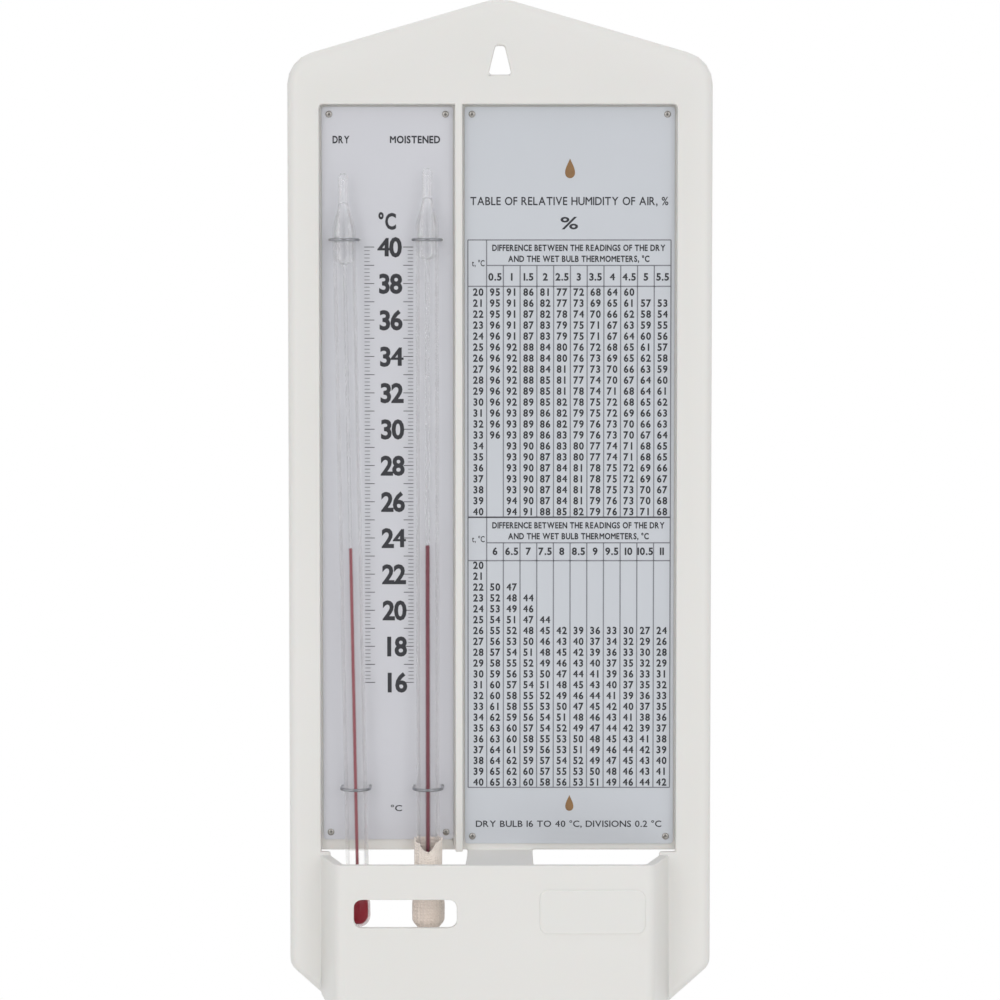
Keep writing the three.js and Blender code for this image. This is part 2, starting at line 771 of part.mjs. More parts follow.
// A spring clip seen from above: a flat foot, two arms that follow the reservoir, and lips turned out.
function buildClips() {
  const radius = reservoirRadius + fit + clipBand / 2;
  const openAngle = Math.asin(clipOpening / 2 / radius);
  const footDepth = reservoirRadius + clipStandOff + clipBand / 2;
  const footHalf = clipFootWidth / 2;
  const startAngle = Math.PI - Math.atan2(footHalf + clipBand, footDepth - clipStandOff);
  const half = [new THREE.Vector2(footHalf, -footDepth)];
  const steps = arcSteps * 2;
  for (let step = 0; step <= steps; step += 1) {
    const angle = startAngle + (openAngle - startAngle) * (step / steps);
    half.push(new THREE.Vector2(radius * Math.sin(angle), radius * Math.cos(angle)));
  }
  const last = half.at(-1);
  half.push(new THREE.Vector2(last.x + clipLipLength / 2, last.y + clipLipLength));
  const mirrored = half.map((point) => new THREE.Vector2(-point.x, point.y)).reverse();
  const middle = [...mirrored, ...half];
  const side = (sign) =>
    middle.map((point, i) => {
      const before = middle[Math.max(i - 1, 0)];
      const after = middle[Math.min(i + 1, middle.length - 1)];
      const along = after.clone().sub(before).normalize();
      const across = new THREE.Vector2(-along.y, along.x);
      return point.clone().addScaledVector(across, (sign * clipBand) / 2);
    });
  const shape = new THREE.Shape([...side(1), ...side(-1).reverse()]);
  for (const [place, drop] of [['upper', upperClipDrop], ['lower', lowerClipDrop]]) {
    const geometry = new THREE.ExtrudeGeometry(shape, { depth: clipHeight, bevelEnabled: false });
    geometry.translate(0, -reservoirDepth, -drop - clipHeight / 2);
    const hole = placed(slab(circleShape(screwRadius + fit, wireSides * 2), 0, clipFace + overrun), 0, 0, drop);
    addMesh(`feeder_clip_${place}`, geometryOf(solid(geometry).subtract(solid(hole))), 'steel');

    const seat = clipFace - clipBand;
    const profile = [
      [0, seat - screwHeadHeight],
      [screwHeadRadius * screwCrownShare, seat - screwHeadHeight],
      [screwHeadRadius, seat],
      [screwRadius, seat],
      [screwRadius, seat + clipBand + screwLength - fit],
      [0, seat + clipBand + screwLength - fit],
    ];
    addMesh(`feeder_clip_screw_${place}`, placed(turnedForward(profile, wireSides * 2), 0, 0, drop), 'steel');
  }
}

buildBase();
buildPlates();
thermometers.forEach(buildThermometer);
buildStaples();
buildWick();
buildTie('wick_tie_upper', upperTieDrop, wickOuter + fit + threadRadius);
buildTie('wick_tie_lower', lowerTieDrop, wickNeckRadius + fit + threadRadius);
buildFeeder();
buildClips();

export default group;
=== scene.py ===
import bmesh
import bpy
import math
import numpy as np
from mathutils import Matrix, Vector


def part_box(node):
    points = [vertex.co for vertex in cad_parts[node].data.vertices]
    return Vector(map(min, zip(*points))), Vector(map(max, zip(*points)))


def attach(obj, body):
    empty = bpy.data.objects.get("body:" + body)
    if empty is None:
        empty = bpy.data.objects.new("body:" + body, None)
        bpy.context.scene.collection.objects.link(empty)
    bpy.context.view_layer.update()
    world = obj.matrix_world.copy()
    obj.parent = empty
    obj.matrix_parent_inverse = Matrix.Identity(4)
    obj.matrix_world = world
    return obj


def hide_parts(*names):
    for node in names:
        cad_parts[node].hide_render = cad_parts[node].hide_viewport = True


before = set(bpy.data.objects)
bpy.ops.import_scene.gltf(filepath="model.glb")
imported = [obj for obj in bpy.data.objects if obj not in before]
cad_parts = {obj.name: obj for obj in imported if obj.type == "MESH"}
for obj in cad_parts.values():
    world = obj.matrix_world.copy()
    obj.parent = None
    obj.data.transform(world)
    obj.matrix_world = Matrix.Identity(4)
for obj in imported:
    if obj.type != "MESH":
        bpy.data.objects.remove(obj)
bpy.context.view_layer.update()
scene = bpy.context.scene
millimetre = 0.001
quarterTurn, fullTurn = math.pi / 2, 2 * math.pi
upwards = np.array([0, 0, 1])
print("frame loaded")


# A point or an array of points from x, depth in front of the wall and drop below the hanging point, in mm
def place(x, depth, drop):
    y, z = -np.asarray(depth, float), -np.asarray(drop, float)
    return np.stack(np.broadcast_arrays(x, y, z), -1) * millimetre


# One sRGB hex value turned to linear light, channel by channel, along the curve of the sRGB standard
def linearColor(hexValue):
    channels = [int(hexValue[i:i + 2], 16) / 255 for i in (1, 3, 5)]
    return (*[c / 12.92 if c <= 0.04045 else ((c + 0.055) / 1.055) ** 2.4 for c in channels], 1)


# Adds one node, sets its properties, and fills or links its inputs. A colour Mix has its share at input 0,
# its colours at 6 and 7 and its result at output 2.
def addNode(tree, kind, properties=None, inputs=None):
    node = tree.nodes.new(kind)
    for name, value in (properties or {}).items():
        setattr(node, name, value)
    for name, value in (inputs or {}).items():
        if isinstance(value, bpy.types.NodeSocket):
            tree.links.new(value, node.inputs[name])
        else:
            node.inputs[name].default_value = value
    return node


# The shader that a material starts with
def shaderOf(material):
    return material.node_tree.nodes["Principled BSDF"]


# A material with its shader's own sockets set
def startMaterial(name, sockets):
    material = bpy.data.materials.new(name)
    material.use_nodes = True
    for socket, value in sockets.items():
        shaderOf(material).inputs[socket].default_value = value
    return material


# Colour drifts between two hex values over the blotch size, and the grain gives bump and gloss their texture
def mottledMaterial(name, look, sockets=None):
    material = startMaterial(name, sockets or {})
    tree, shader = material.node_tree, shaderOf(material)
    coordinates = addNode(tree, "ShaderNodeTexCoord").outputs["Object"]
    stretched = addNode(tree, "ShaderNodeMapping", {"vector_type": "TEXTURE"}, {
        "Vector": coordinates, "Scale": look.get("stretch", (1, 1, 1))}).outputs["Vector"]
    blotch = addNode(tree, "ShaderNodeTexNoise", None, {
        "Vector": coordinates, "Scale": 1 / (look["blotch"] * millimetre), "Detail": 3}).outputs["Fac"]
    grain = addNode(tree, "ShaderNodeTexNoise", None, {
        "Vector": stretched, "Scale": 1 / (look["grain"] * millimetre), "Detail": 2}).outputs["Fac"]
    tone = addNode(tree, "ShaderNodeMix", {"data_type": "RGBA"}, {
        0: blotch, 6: linearColor(look["dark"]), 7: linearColor(look["light"])})
    gloss = addNode(tree, "ShaderNodeMapRange", None, {
        "Value": grain, "To Min": look["smooth"], "To Max": look["rough"]})
    bump = addNode(tree, "ShaderNodeBump", None, {
        "Height": grain, "Strength": 0.3, "Distance": look["relief"] * millimetre})
    tree.links.new(tone.outputs[2], shader.inputs["Base Color"])
    tree.links.new(gloss.outputs["Result"], shader.inputs["Roughness"])
    tree.links.new(bump.outputs["Normal"], shader.inputs["Normal"])
    return material


# Six times the volume under quads, the sum of a . (b x c) + a . (c x d), positive when they face outwards
def signedVolume(points, quads):
    a, b, c, d = (points[quads[:, i]] for i in range(4))
    return (np.einsum("ij,ij->i", a, np.cross(b, c)) + np.einsum("ij,ij->i", a, np.cross(c, d))).sum()


# Distances in metres within which corners are merged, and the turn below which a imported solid's faces are one
merging = {"surface": 2e-7, "solid": 2e-6, "noLength": 1e-8, "flatDegrees": 0.4}


# Merges a mesh's doubles, and then dissolves its edges within flat areas or else those without length
def cleanMesh(mesh, distance, flatAreas):
    work = bmesh.new()
    work.from_mesh(mesh)
    bmesh.ops.remove_doubles(work, verts=work.verts, dist=distance)
    if flatAreas:
        bmesh.ops.dissolve_limit(work, angle_limit=math.radians(merging["flatDegrees"]), verts=work.verts,
                                 edges=work.edges)
    else:
        bmesh.ops.dissolve_degenerate(work, edges=work.edges, dist=merging["noLength"])
    work.to_mesh(mesh)
    work.free()


# A finished mesh becomes a piece on its body, smooth but for its creases
def addMesh(name, mesh, material, replaced=(), body="instrument", creased=35):
    mesh.materials.clear()
    mesh.materials.append(material)
    mesh.shade_smooth()
    mesh.set_sharp_from_angle(angle=math.radians(creased))
    piece = bpy.data.objects.new(name, mesh)
    scene.collection.objects.link(piece)
    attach(piece, body)
    if replaced:
        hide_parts(*replaced)
    return piece


# Rows by columns of points become quads, cell by cell, and shared corners merge, so seams and poles close.
# A grid whose number is in inward is the wall of a hollow and faces into it.
def addSurface(name, grids, material, replaced=(), body="instrument", inward=(), creased=35):
    points, quads, corners = [], [], []
    total = 0
    for i, grid in enumerate(grids):
        rows, columns = grid.shape[:2]
        index = np.arange(rows * columns).reshape(rows, columns)
        cells = np.stack([index[:-1, :-1], index[:-1, 1:], index[1:, 1:], index[1:, :-1]], -1).reshape(-1, 4)
        flat = grid.reshape(-1, 3)
        if (signedVolume(flat - flat.mean(0), cells) < 0) != (i in inward):
            cells = cells[:, ::-1]
        u, v = np.meshgrid(np.linspace(0, 1, columns), np.linspace(0, 1, rows))
        points.append(flat)
        corners.append(np.stack([u, v], -1).reshape(-1, 2))
        quads.append(cells + total)
        total += rows * columns
    points, quads, corners = (np.concatenate(part) for part in (points, quads, corners))
    mesh = bpy.data.meshes.new(name)
    mesh.from_pydata(points.tolist(), [], quads.tolist())
    layer = mesh.uv_layers.new(name="along")
    layer.data.foreach_set("uv", corners[quads.ravel()].ravel())
    cleanMesh(mesh, merging["surface"], False)
    return addMesh(name, mesh, material, replaced, body, creased)


# From the first value to the last one as the share goes from 0 to 1
def between(first, last, share):
    return first + (last - first) * share


# Smooth step: 3 s squared less 2 s cubed of a share s
def smoothStep(share):
    return share ** 2 * (3 - 2 * share)


# Section points at an angle and a radius
def roundPoints(radius, angle):
    return np.stack([radius * np.cos(angle), radius * np.sin(angle)], -1)


# A rectangle of section points whose corners are arcs
def boxSection(width, height, radius, steps=4):
    angle = np.linspace(0, quarterTurn, steps + 1)
    centres = np.array([(1, 1), (-1, 1), (-1, -1), (1, -1)]) * [width / 2 - radius, height / 2 - radius]
    loop = np.concatenate([centre + roundPoints(radius, angle + turn * quarterTurn)
                           for turn, centre in enumerate(centres)])
    return np.concatenate([loop, loop[:1]])


# Quarter of an ellipse from one radius and height to another, bulging at its start or at its end
def quarterArc(start, end, bulgeFirst, steps=12):
    angle = np.linspace(0, quarterTurn, steps + 1)
    shares = (np.sin(angle), 1 - np.cos(angle))
    acrossShare, alongShare = shares if bulgeFirst else shares[::-1]
    return np.stack([between(start[0], end[0], acrossShare), between(start[1], end[1], alongShare)], -1)


# Radius and height pairs that run from one radius to another in a smooth step, as the height goes evenly
def slope(startRadius, startHeight, endRadius, endHeight, steps=14):
    share = np.linspace(0, 1, steps + 1)
    radii = between(startRadius, endRadius, smoothStep(share))
    return np.stack([radii, between(startHeight, endHeight, share)], -1)


# A grid of rings with one more at each end, drawn in to the ring's middle
def closedGrid(grid):
    ends = [np.broadcast_to(grid[[i]].mean(1, keepdims=True), grid[:1].shape) for i in (0, -1)]
    return np.concatenate([ends[0], grid, ends[1]])


# Section points carried along a path, each turned to the path's own normal and binormal, with closed ends
def sweptGrid(path, normals, section):
    tangents = np.gradient(path, axis=0)
    tangents /= np.linalg.norm(tangents, axis=1, keepdims=True)
    normals = normals - (normals * tangents).sum(1, keepdims=True) * tangents
    normals /= np.linalg.norm(normals, axis=1, keepdims=True)
    binormals = np.cross(tangents, normals)
    across, along = section[..., :1], section[..., 1:]
    return closedGrid(path[:, None] + across * normals[:, None] + along * binormals[:, None])


# Radius and height pairs turned about a line that stands on a point and leans sideways
def turnedGrid(profile, x, depth, drop, lean, sides=48):
    profile = np.asarray(profile, float) * millimetre
    angle = np.linspace(0, fullTurn, sides + 1)[None, :, None]
    along = np.array([-math.sin(lean), 0, math.cos(lean)])
    across = np.array([math.cos(lean), 0, math.sin(lean)])
    around = np.cos(angle) * across + np.sin(angle) * np.array([0, -1, 0])
    return place(x, depth, drop) + profile[:, 1, None, None] * along + profile[:, 0, None, None] * around


# Radius and height pairs turned about a line that points to the front
def buttonGrid(profile, x, depth, drop, sides=32):
    profile = np.asarray(profile, float)
    angle = np.linspace(0, fullTurn, sides + 1)
    radii, heights = profile[:, :1], profile[:, 1:]
    return place(x + radii * np.cos(angle), depth + heights, drop + radii * np.sin(angle))


# Camera where the photograph was taken from, a little above the middle of the instrument
viewpoint = {"distance": 1, "pitchSine": 0.062, "aimDepth": 32, "aimDrop": 128.1, "lens": 127.1, "sensor": 36}
pitch = math.asin(viewpoint["pitchSine"])
aim = place(0, viewpoint["aimDepth"], viewpoint["aimDrop"])
camera = bpy.data.objects.new("camera", bpy.data.cameras.new("camera"))
camera.data.lens = viewpoint["lens"]
camera.data.sensor_width = viewpoint["sensor"]
camera.location = aim + viewpoint["distance"] * np.array([0, -math.cos(pitch), math.sin(pitch)])
camera.rotation_euler = (quarterTurn - pitch, 0, 0)
scene.collection.objects.link(camera)
scene.camera = camera
scene.view_settings.view_transform = "Standard"


# One for rays from the camera, through glass or off a mirror, and zero for rays that only carry light
def seenShare(tree, sight):
    seen = addNode(tree, "ShaderNodeMath", {"operation": "MAXIMUM"}, {
        0: sight.outputs["Is Camera Ray"], 1: sight.outputs["Is Transmission Ray"]})
    return addNode(tree, "ShaderNodeMath", {"operation": "MAXIMUM"}, {
        0: seen.outputs["Value"], 1: sight.outputs["Is Glossy Ray"]}).outputs["Value"]


# Studio light: a pale room, brighter behind the instrument and overhead, with a low band of fill in front.
# Each step of the light is given by where it starts and ends and by its level before and after.
studio = {"room": "#F3F4F6", "fillRise": 0.17, "noBounce": 0.5, "darkLevel": 0.08,
          "steps": {"room": (-0.6, -0.1, 0.82, 0.42), "ceiling": (0.2, 0.7, 0, 0.5),
                    "fill": (0.13, 0.25, 1.5, 0), "front": (0.6, 0.8, 0, 1), "camera": (0.93, 0.975, 0, 1)}}
world = bpy.data.worlds.new("paleRoom")
world.use_nodes = True
room = world.node_tree
room.nodes.clear()
sight = addNode(room, "ShaderNodeLightPath")
direction = addNode(room, "ShaderNodeTexCoord").outputs["Generated"]
towardsCamera = addNode(room, "ShaderNodeVectorMath", {"operation": "DOT_PRODUCT"}, {
    0: direction, 1: (0, -1, 0)}).outputs["Value"]
elevation = addNode(room, "ShaderNodeSeparateXYZ", None, {"Vector": direction}).outputs["Z"]
aboveFill = addNode(room, "ShaderNodeMath", {"operation": "SUBTRACT"}, {0: elevation, 1: studio["fillRise"]})
fromFill = addNode(room, "ShaderNodeMath", {"operation": "ABSOLUTE"}, {0: aboveFill.outputs["Value"]})
followed = {"room": towardsCamera, "ceiling": elevation, "fill": fromFill.outputs["Value"],
            "front": towardsCamera, "camera": towardsCamera}
levels = {}
for name, (start, end, before, after) in studio["steps"].items():
    levels[name] = addNode(room, "ShaderNodeMapRange", {"interpolation_type": "SMOOTHSTEP"}, {
        "Value": followed[name], "From Min": start, "From Max": end,
        "To Min": before, "To Max": after}).outputs["Result"]
raised = addNode(room, "ShaderNodeMath", {"operation": "ADD"}, {0: levels["room"], 1: levels["ceiling"]})
filled = addNode(room, "ShaderNodeMath", {"operation": "MULTIPLY_ADD"}, {
    0: levels["fill"], 1: levels["front"], 2: raised.outputs["Value"]})
lit = addNode(room, "ShaderNodeBackground", None, {
    "Color": linearColor(studio["room"]), "Strength": filled.outputs["Value"]})

# What is seen of the room is plain white, but for the camera's side, which mirrors show dark as in a studio.
# After a bounce off a matte surface, a ray through glass or off a mirror carries light and isn't seen.
darkShare = addNode(room, "ShaderNodeMath", {"operation": "MULTIPLY"}, {
    0: sight.outputs["Is Glossy Ray"], 1: levels["camera"]})
whiteLevel = addNode(room, "ShaderNodeMapRange", None, {
    "Value": darkShare.outputs["Value"], "To Min": 1, "To Max": studio["darkLevel"]})
white = addNode(room, "ShaderNodeBackground", None, {
    "Color": (1, 1, 1, 1), "Strength": whiteLevel.outputs["Result"]})
unbounced = addNode(room, "ShaderNodeMath", {"operation": "LESS_THAN"}, {
    0: sight.outputs["Diffuse Depth"], 1: studio["noBounce"]})
whiteShare = addNode(room, "ShaderNodeMath", {"operation": "MULTIPLY"}, {
    0: seenShare(room, sight), 1: unbounced.outputs["Value"]})
chosen = addNode(room, "ShaderNodeMixShader", None, {
    0: whiteShare.outputs["Value"], 1: lit.outputs[0], 2: white.outputs[0]})
addNode(room, "ShaderNodeOutputWorld", None, {"Surface": chosen.outputs[0]})
scene.world = world

# One tall softbox at each side, sizes in metres, turned to the middle of the instrument
softbox = {"watts": (3.2, 3.4), "width": 0.5, "height": 1.4, "side": 1, "front": 1.9, "rise": 0.5}
for name, sign, watts in zip(("leftSoftbox", "rightSoftbox"), (-1, 1), softbox["watts"]):
    lamp = bpy.data.objects.new(name, bpy.data.lights.new(name, "AREA"))
    lamp.data.energy = watts
    lamp.data.shape = "RECTANGLE"
    lamp.data.size = softbox["width"]
    lamp.data.size_y = softbox["height"]
    lamp.location = (sign * softbox["side"], -softbox["front"], softbox["rise"])
    towards = aim - np.array(lamp.location)
    lamp.rotation_euler = (math.acos(-towards[2] / np.linalg.norm(towards)), 0,
                           math.atan2(towards[1], towards[0]) - quarterTurn)
    scene.collection.objects.link(lamp)

# A pale floor far below, its edges in metres, which is nearly as white as the room where it is seen
ground = {"light": "#F4F4F2", "dark": "#F1F1EF", "blotch": 300, "grain": 4, "relief": 0.02, "smooth": 0.6,
          "rough": 0.7, "front": -2.5, "back": 1.35, "side": 2.5, "drop": 900, "whiteShare": 0.95}
floorLevel = -ground["drop"] * millimetre
floorMesh = bpy.data.meshes.new("floor")
floorMesh.from_pydata([(sign * ground["side"], ground[edge], floorLevel) for sign, edge in (
    (-1, "front"), (1, "front"), (1, "back"), (-1, "back"))], [], [(0, 1, 2, 3)])
paleFloor = mottledMaterial("paleFloor", ground)
floorTree = paleFloor.node_tree
floorShare = addNode(floorTree, "ShaderNodeMath", {"operation": "MULTIPLY"}, {
    0: seenShare(floorTree, addNode(floorTree, "ShaderNodeLightPath")), 1: ground["whiteShare"]})
floorWhite = addNode(floorTree, "ShaderNodeEmission", None, {"Color": (1, 1, 1, 1), "Strength": 1})
floorMix = addNode(floorTree, "ShaderNodeMixShader", None, {
    0: floorShare.outputs["Value"], 1: shaderOf(paleFloor).outputs[0], 2: floorWhite.outputs[0]})
floorTree.links.new(floorMix.outputs[0], floorTree.nodes["Material Output"].inputs["Surface"])
floorMesh.materials.append(paleFloor)
floor = bpy.data.objects.new("floor", floorMesh)
scene.collection.objects.link(floor)
print("camera, lights and floor set")

# Moulded body: white polystyrene, injection moulded, so satin with faint flow tones and a fine eggshell grain
shell = {"edgeRadius": 0.38, "edgeSteps": 3, "edgeAngle": 42, "light": "#E8E6E2", "dark": "#E4E2DD",
         "blotch": 55, "grain": 0.7, "relief": 0.012, "smooth": 0.36, "rough": 0.46}
polystyrene = mottledMaterial("mouldedPolystyrene", shell, {
    "IOR": 1.57, "Subsurface Weight": 0.04, "Subsurface Scale": 0.002})


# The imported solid's own surface, its doubles merged and its flat areas made whole, ready for rounded edges
def weldedCopy(node, name, material):
    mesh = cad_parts[node].data.copy()
    cleanMesh(mesh, merging["solid"], True)
    return addMesh(name, mesh, material, replaced=[node], creased=shell["edgeAngle"])


bodyShell = weldedCopy("base", "moulded_body", polystyrene)
rounding = bodyShell.modifiers.new("roundedEdges", "BEVEL")
rounding.width = shell["edgeRadius"] * millimetre
rounding.segments = shell["edgeSteps"]
rounding.limit_method = "ANGLE"
rounding.angle_limit = math.radians(shell["edgeAngle"])
rounding.use_clamp_overlap = False
rounding.harden_normals = True

# Blank raised panel on the lower face, a low plateau whose edge falls in a quarter circle. Its rings are the
# outline drawn in by each inset: the foot, which starts inside the face, then the edge, then the flat top.
panel = {"left": 11.1, "right": 40.8, "top": 236.4, "bottom": 248.9, "height": 0.45, "radius": 2.4,
         "frontDepth": 50, "flatShare": 0.99, "cornerSteps": 10, "edgeSteps": 6}
outline = boxSection(panel["right"] - panel["left"], panel["bottom"] - panel["top"], panel["radius"],
                     panel["cornerSteps"])
fall = quarterArc((panel["height"], 0), (0, panel["height"]), False, panel["edgeSteps"])
insets = np.concatenate([[0], panel["height"] - fall[:, 0], [panel["radius"] * panel["flatShare"]]])
rises = np.concatenate([[-panel["height"]], fall[:, 1], [panel["height"]]])
rings = outline * (1 - insets[:, None, None] / np.abs(outline).max(0))
plateau = place((panel["left"] + panel["right"]) / 2 + rings[..., 0], panel["frontDepth"] + rises[:, None],
                (panel["top"] + panel["bottom"]) / 2 + rings[..., 1])
addSurface("blank_panel", [closedGrid(plateau)], polystyrene)
print("moulded body made")

# Plates: rolled aluminium sheet, lacquered pale grey before printing, so satin with a fine upright grain
sheetFinish = {"blotch": 30, "grain": 0.4, "relief": 0.006, "smooth": 0.34, "rough": 0.44,
               "stretch": (1, 1, 30)}
scaleSheet = mottledMaterial("lacqueredScaleSheet", {"light": "#DADADF", "dark": "#D4D4D9", **sheetFinish}, {
    "Metallic": 0.15})
tableSheet = mottledMaterial("lacqueredTableSheet", {"light": "#D4D7DC", "dark": "#CED1D6", **sheetFinish}, {
    "Metallic": 0.15})
weldedCopy("table_plate", "table_sheet", tableSheet)
scaleMesh = weldedCopy("scale_plate", "scale_sheet", scaleSheet).data

# Staple holes are punched just wider than the wire: the corners round each are drawn in to the punch's radius
punch = {"legSpread": 4.05, "reach": 1.2, "radius": 0.5, "leastDistance": 0.001}
corners = np.empty(len(scaleMesh.vertices) * 3)
scaleMesh.vertices.foreach_get("co", corners)
corners = corners.reshape(-1, 3)
for tubeName in ("dry", "wet"):
    for where in ("upper", "lower"):
        low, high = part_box(f"{tubeName}_{where}_staple")
        for side in (-punch["legSpread"], punch["legSpread"]):
            leg = np.array([(low[0] + high[0]) / 2 + side * millimetre, (low[2] + high[2]) / 2])
            away = corners[:, [0, 2]] - leg
            distance = np.linalg.norm(away, axis=1, keepdims=True)
            divisor = np.maximum(distance, punch["leastDistance"] * millimetre)
            drawnIn = leg + away * punch["radius"] * millimetre / divisor
            corners[:, [0, 2]] = np.where(distance < punch["reach"] * millimetre, drawnIn, corners[:, [0, 2]])
scaleMesh.vertices.foreach_set("co", corners.ravel())
scaleMesh.update()

# Pins: nickelled steel drive pins, stamped heads gone dull
pinShape = {"perPlate": 4, "head": 0.95, "height": 0.5, "shank": 0.5, "length": 2.4, "rounding": 0.15}
dullNickel = mottledMaterial("dullNickel", {
    "light": "#B4B1AD", "dark": "#9A9793", "blotch": 0.8, "grain": 0.12, "relief": 0.01,
    "smooth": 0.2, "rough": 0.34}, {"Metallic": 1})
seat = -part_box("scale_plate")[0][1] / millimetre
pinProfile = np.concatenate([
    [(0, -pinShape["length"]), (pinShape["shank"], -pinShape["length"]), (pinShape["shank"], 0)],
    [(pinShape["head"], 0), (pinShape["head"], pinShape["rounding"])],
    quarterArc((pinShape["head"], pinShape["rounding"]), (0, pinShape["height"]), False)[1:]])
for plate in ("scale_plate", "table_plate"):
    for i in range(1, pinShape["perPlate"] + 1):
        low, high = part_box(f"{plate}_pin_{i}")
        x, drop = (low[0] + high[0]) / 2 / millimetre, -(low[2] + high[2]) / 2 / millimetre
        addSurface(f"{plate}_drive_pin_{i}", [buttonGrid(pinProfile, x, seat, drop)], dullNickel,
                   replaced=[f"{plate}_pin_{i}"])
print("plates and pins made")

# Print on the plates: screen ink, a matte dark film that stands a few hundredths proud. Its weights and gaps
# are shares of the letter size.
ink = {"lift": 0.03, "resolution": 3, "boldShare": 0.032, "mediumShare": 0.014, "overstruck": "M4",
       "secondLift": 0.015, "letterGapShare": 0.12, "wordGapShare": 0.45, "figureWidthShare": 0.94}
finePrint = {"blotch": 2, "grain": 0.15, "relief": 0.004, "smooth": 0.5, "rough": 0.62}
darkInk = mottledMaterial("darkScreenInk", {"light": "#34343A", "dark": "#2B2B30", **finePrint})
tableInk = mottledMaterial("tableScreenInk", {"light": "#303136", "dark": "#292A2E", **finePrint})
ruleInk = mottledMaterial("greyScreenInk", {"light": "#8B8C92", "dark": "#7D7E84", **finePrint})
inkDepth = seat + ink["lift"]
glyphs = {}


# One character as flat triangles on a unit text size, its strokes widened by the weight, made once and kept.
# Where sharp inner corners forbid widening, it is struck twice: to the left and, a film higher, to the right.
def glyph(character, weight=0):
    if (character, weight) not in glyphs:
        curve = bpy.data.curves.new("glyph", "FONT")
        curve.body = character
        struckTwice = weight > 0 and character in ink["overstruck"]
        curve.offset = 0 if struckTwice else weight
        curve.resolution_u = ink["resolution"]
        text = bpy.data.objects.new("glyph", curve)
        scene.collection.objects.link(text)
        bpy.context.view_layer.update()
        mesh = bpy.data.meshes.new_from_object(text.evaluated_get(bpy.context.evaluated_depsgraph_get()))
        mesh.calc_loop_triangles()
        points = np.empty(len(mesh.vertices) * 3)
        mesh.vertices.foreach_get("co", points)
        triangles = np.empty(len(mesh.loop_triangles) * 3, int)
        mesh.loop_triangles.foreach_get("vertices", triangles)
        bpy.data.meshes.remove(mesh)
        bpy.data.objects.remove(text)
        bpy.data.curves.remove(curve)
        points, triangles = points.reshape(-1, 3), triangles.reshape(-1, 3)
        if struckTwice:
            triangles = np.concatenate([triangles, triangles + len(points)])
            points = np.concatenate([points - [weight, 0, 0], points + [weight, 0, ink["secondLift"]]])
        glyphs[character, weight] = (points, triangles)
    return glyphs[character, weight]


# Height of a figure on the unit text size
def capitalHeight():
    return np.ptp(glyph("0")[0][:, 1])


# Characters side by side about a centre, scaled so that capitals have the given height and the run its width
def textRun(words, x, drop, height, width=None, weight=ink["mediumShare"]):
    capital = capitalHeight()
    parts, cursor = [], 0
    for character in words:
        if character == " ":
            cursor += capital * ink["wordGapShare"]
            continue
        points, triangles = glyph(character, weight)
        parts.append((points + [cursor - points[:, 0].min(), 0, 0], triangles))
        cursor += np.ptp(points[:, 0]) + capital * ink["letterGapShare"]
    length = cursor - capital * ink["letterGapShare"]
    scaleUp = height / capital
    scaleAcross = width / length if width else scaleUp
    return [(place(x + (points[:, 0] - length / 2) * scaleAcross, inkDepth + points[:, 2],
                   drop + height / 2 - points[:, 1] * scaleUp), triangles) for points, triangles in parts]


# Bold figures in cells of one width, each in the middle of its own, so that columns of numbers line up
def figureRun(figures, x, drop, height, cell):
    scaleUp = height / capitalHeight()
    scaleAcross = scaleUp * ink["figureWidthShare"]
    parts = []
    for i, character in enumerate(figures):
        points, triangles = glyph(character, ink["boldShare"])
        middle = x + (i - (len(figures) - 1) / 2) * cell
        acrossFigure = points[:, 0] - (points[:, 0].min() + points[:, 0].max()) / 2
        parts.append((place(middle + acrossFigure * scaleAcross, inkDepth + points[:, 2],
                            drop + height / 2 - points[:, 1] * scaleUp), triangles))
    return parts


# Flat bars, each given by left, right, top and bottom, as two triangles
def bars(boxes):
    left, right, top, bottom = np.asarray(boxes, float).T
    corners = np.stack([place(left, inkDepth, bottom), place(right, inkDepth, bottom),
                        place(right, inkDepth, top), place(left, inkDepth, top)], 1).reshape(-1, 3)
    start = np.arange(len(left))[:, None] * 4
    return [(corners, np.concatenate([start + [0, 1, 2], start + [0, 2, 3]]))]


# All of one ink's triangles in one mesh that faces the reader
def printLayer(name, parts, material):
    offsets = np.cumsum([0] + [len(points) for points, _ in parts[:-1]])
    points = np.concatenate([points for points, _ in parts])
    triangles = np.concatenate([triangles + offset for (_, triangles), offset in zip(parts, offsets)])
    a, b, c = (points[triangles[:, i]] for i in range(3))
    turnedAway = np.cross(b - a, c - a)[:, 1] > 0
    triangles[turnedAway] = triangles[turnedAway][:, ::-1]
    mesh = bpy.data.meshes.new(name)
    mesh.from_pydata(points.tolist(), [], triangles.tolist())
    return addMesh(name, mesh, material)


# Scale between the tubes: a figure every two degrees, a tick every fifth of a degree on both sides. Ticks
# have a start, a short end and a long end. A label is given by its words, x, drop, height, width and weight.
scale = {"top": 40, "bottom": 16, "topDrop": 56.6, "bottomDrop": 180.4, "figureStep": 2, "figure": 5.3,
         "figureCell": 3.3, "figureXTop": -31.2, "figureXBottom": -29.8, "ticksPerDegree": 5, "tick": 0.14,
         "longTick": 0.2, "leftTicks": (-38.4, -36.9, -35.6), "rightTicks": (-24.6, -26.1, -27.4),
         "labels": (("°C", -31.9, 49.3, 4.4, 5, "boldShare"), ("DRY", -44.9, 26.3, 2, 4.8, "boldShare"),
                    ("MOISTENED", -24, 26.3, 2, 14.2, "boldShare"),
                    ("°C", -29.6, 216.5, 1.7, 3.2, "mediumShare"))}
degreeSpan = scale["top"] - scale["bottom"]
scaleParts = []
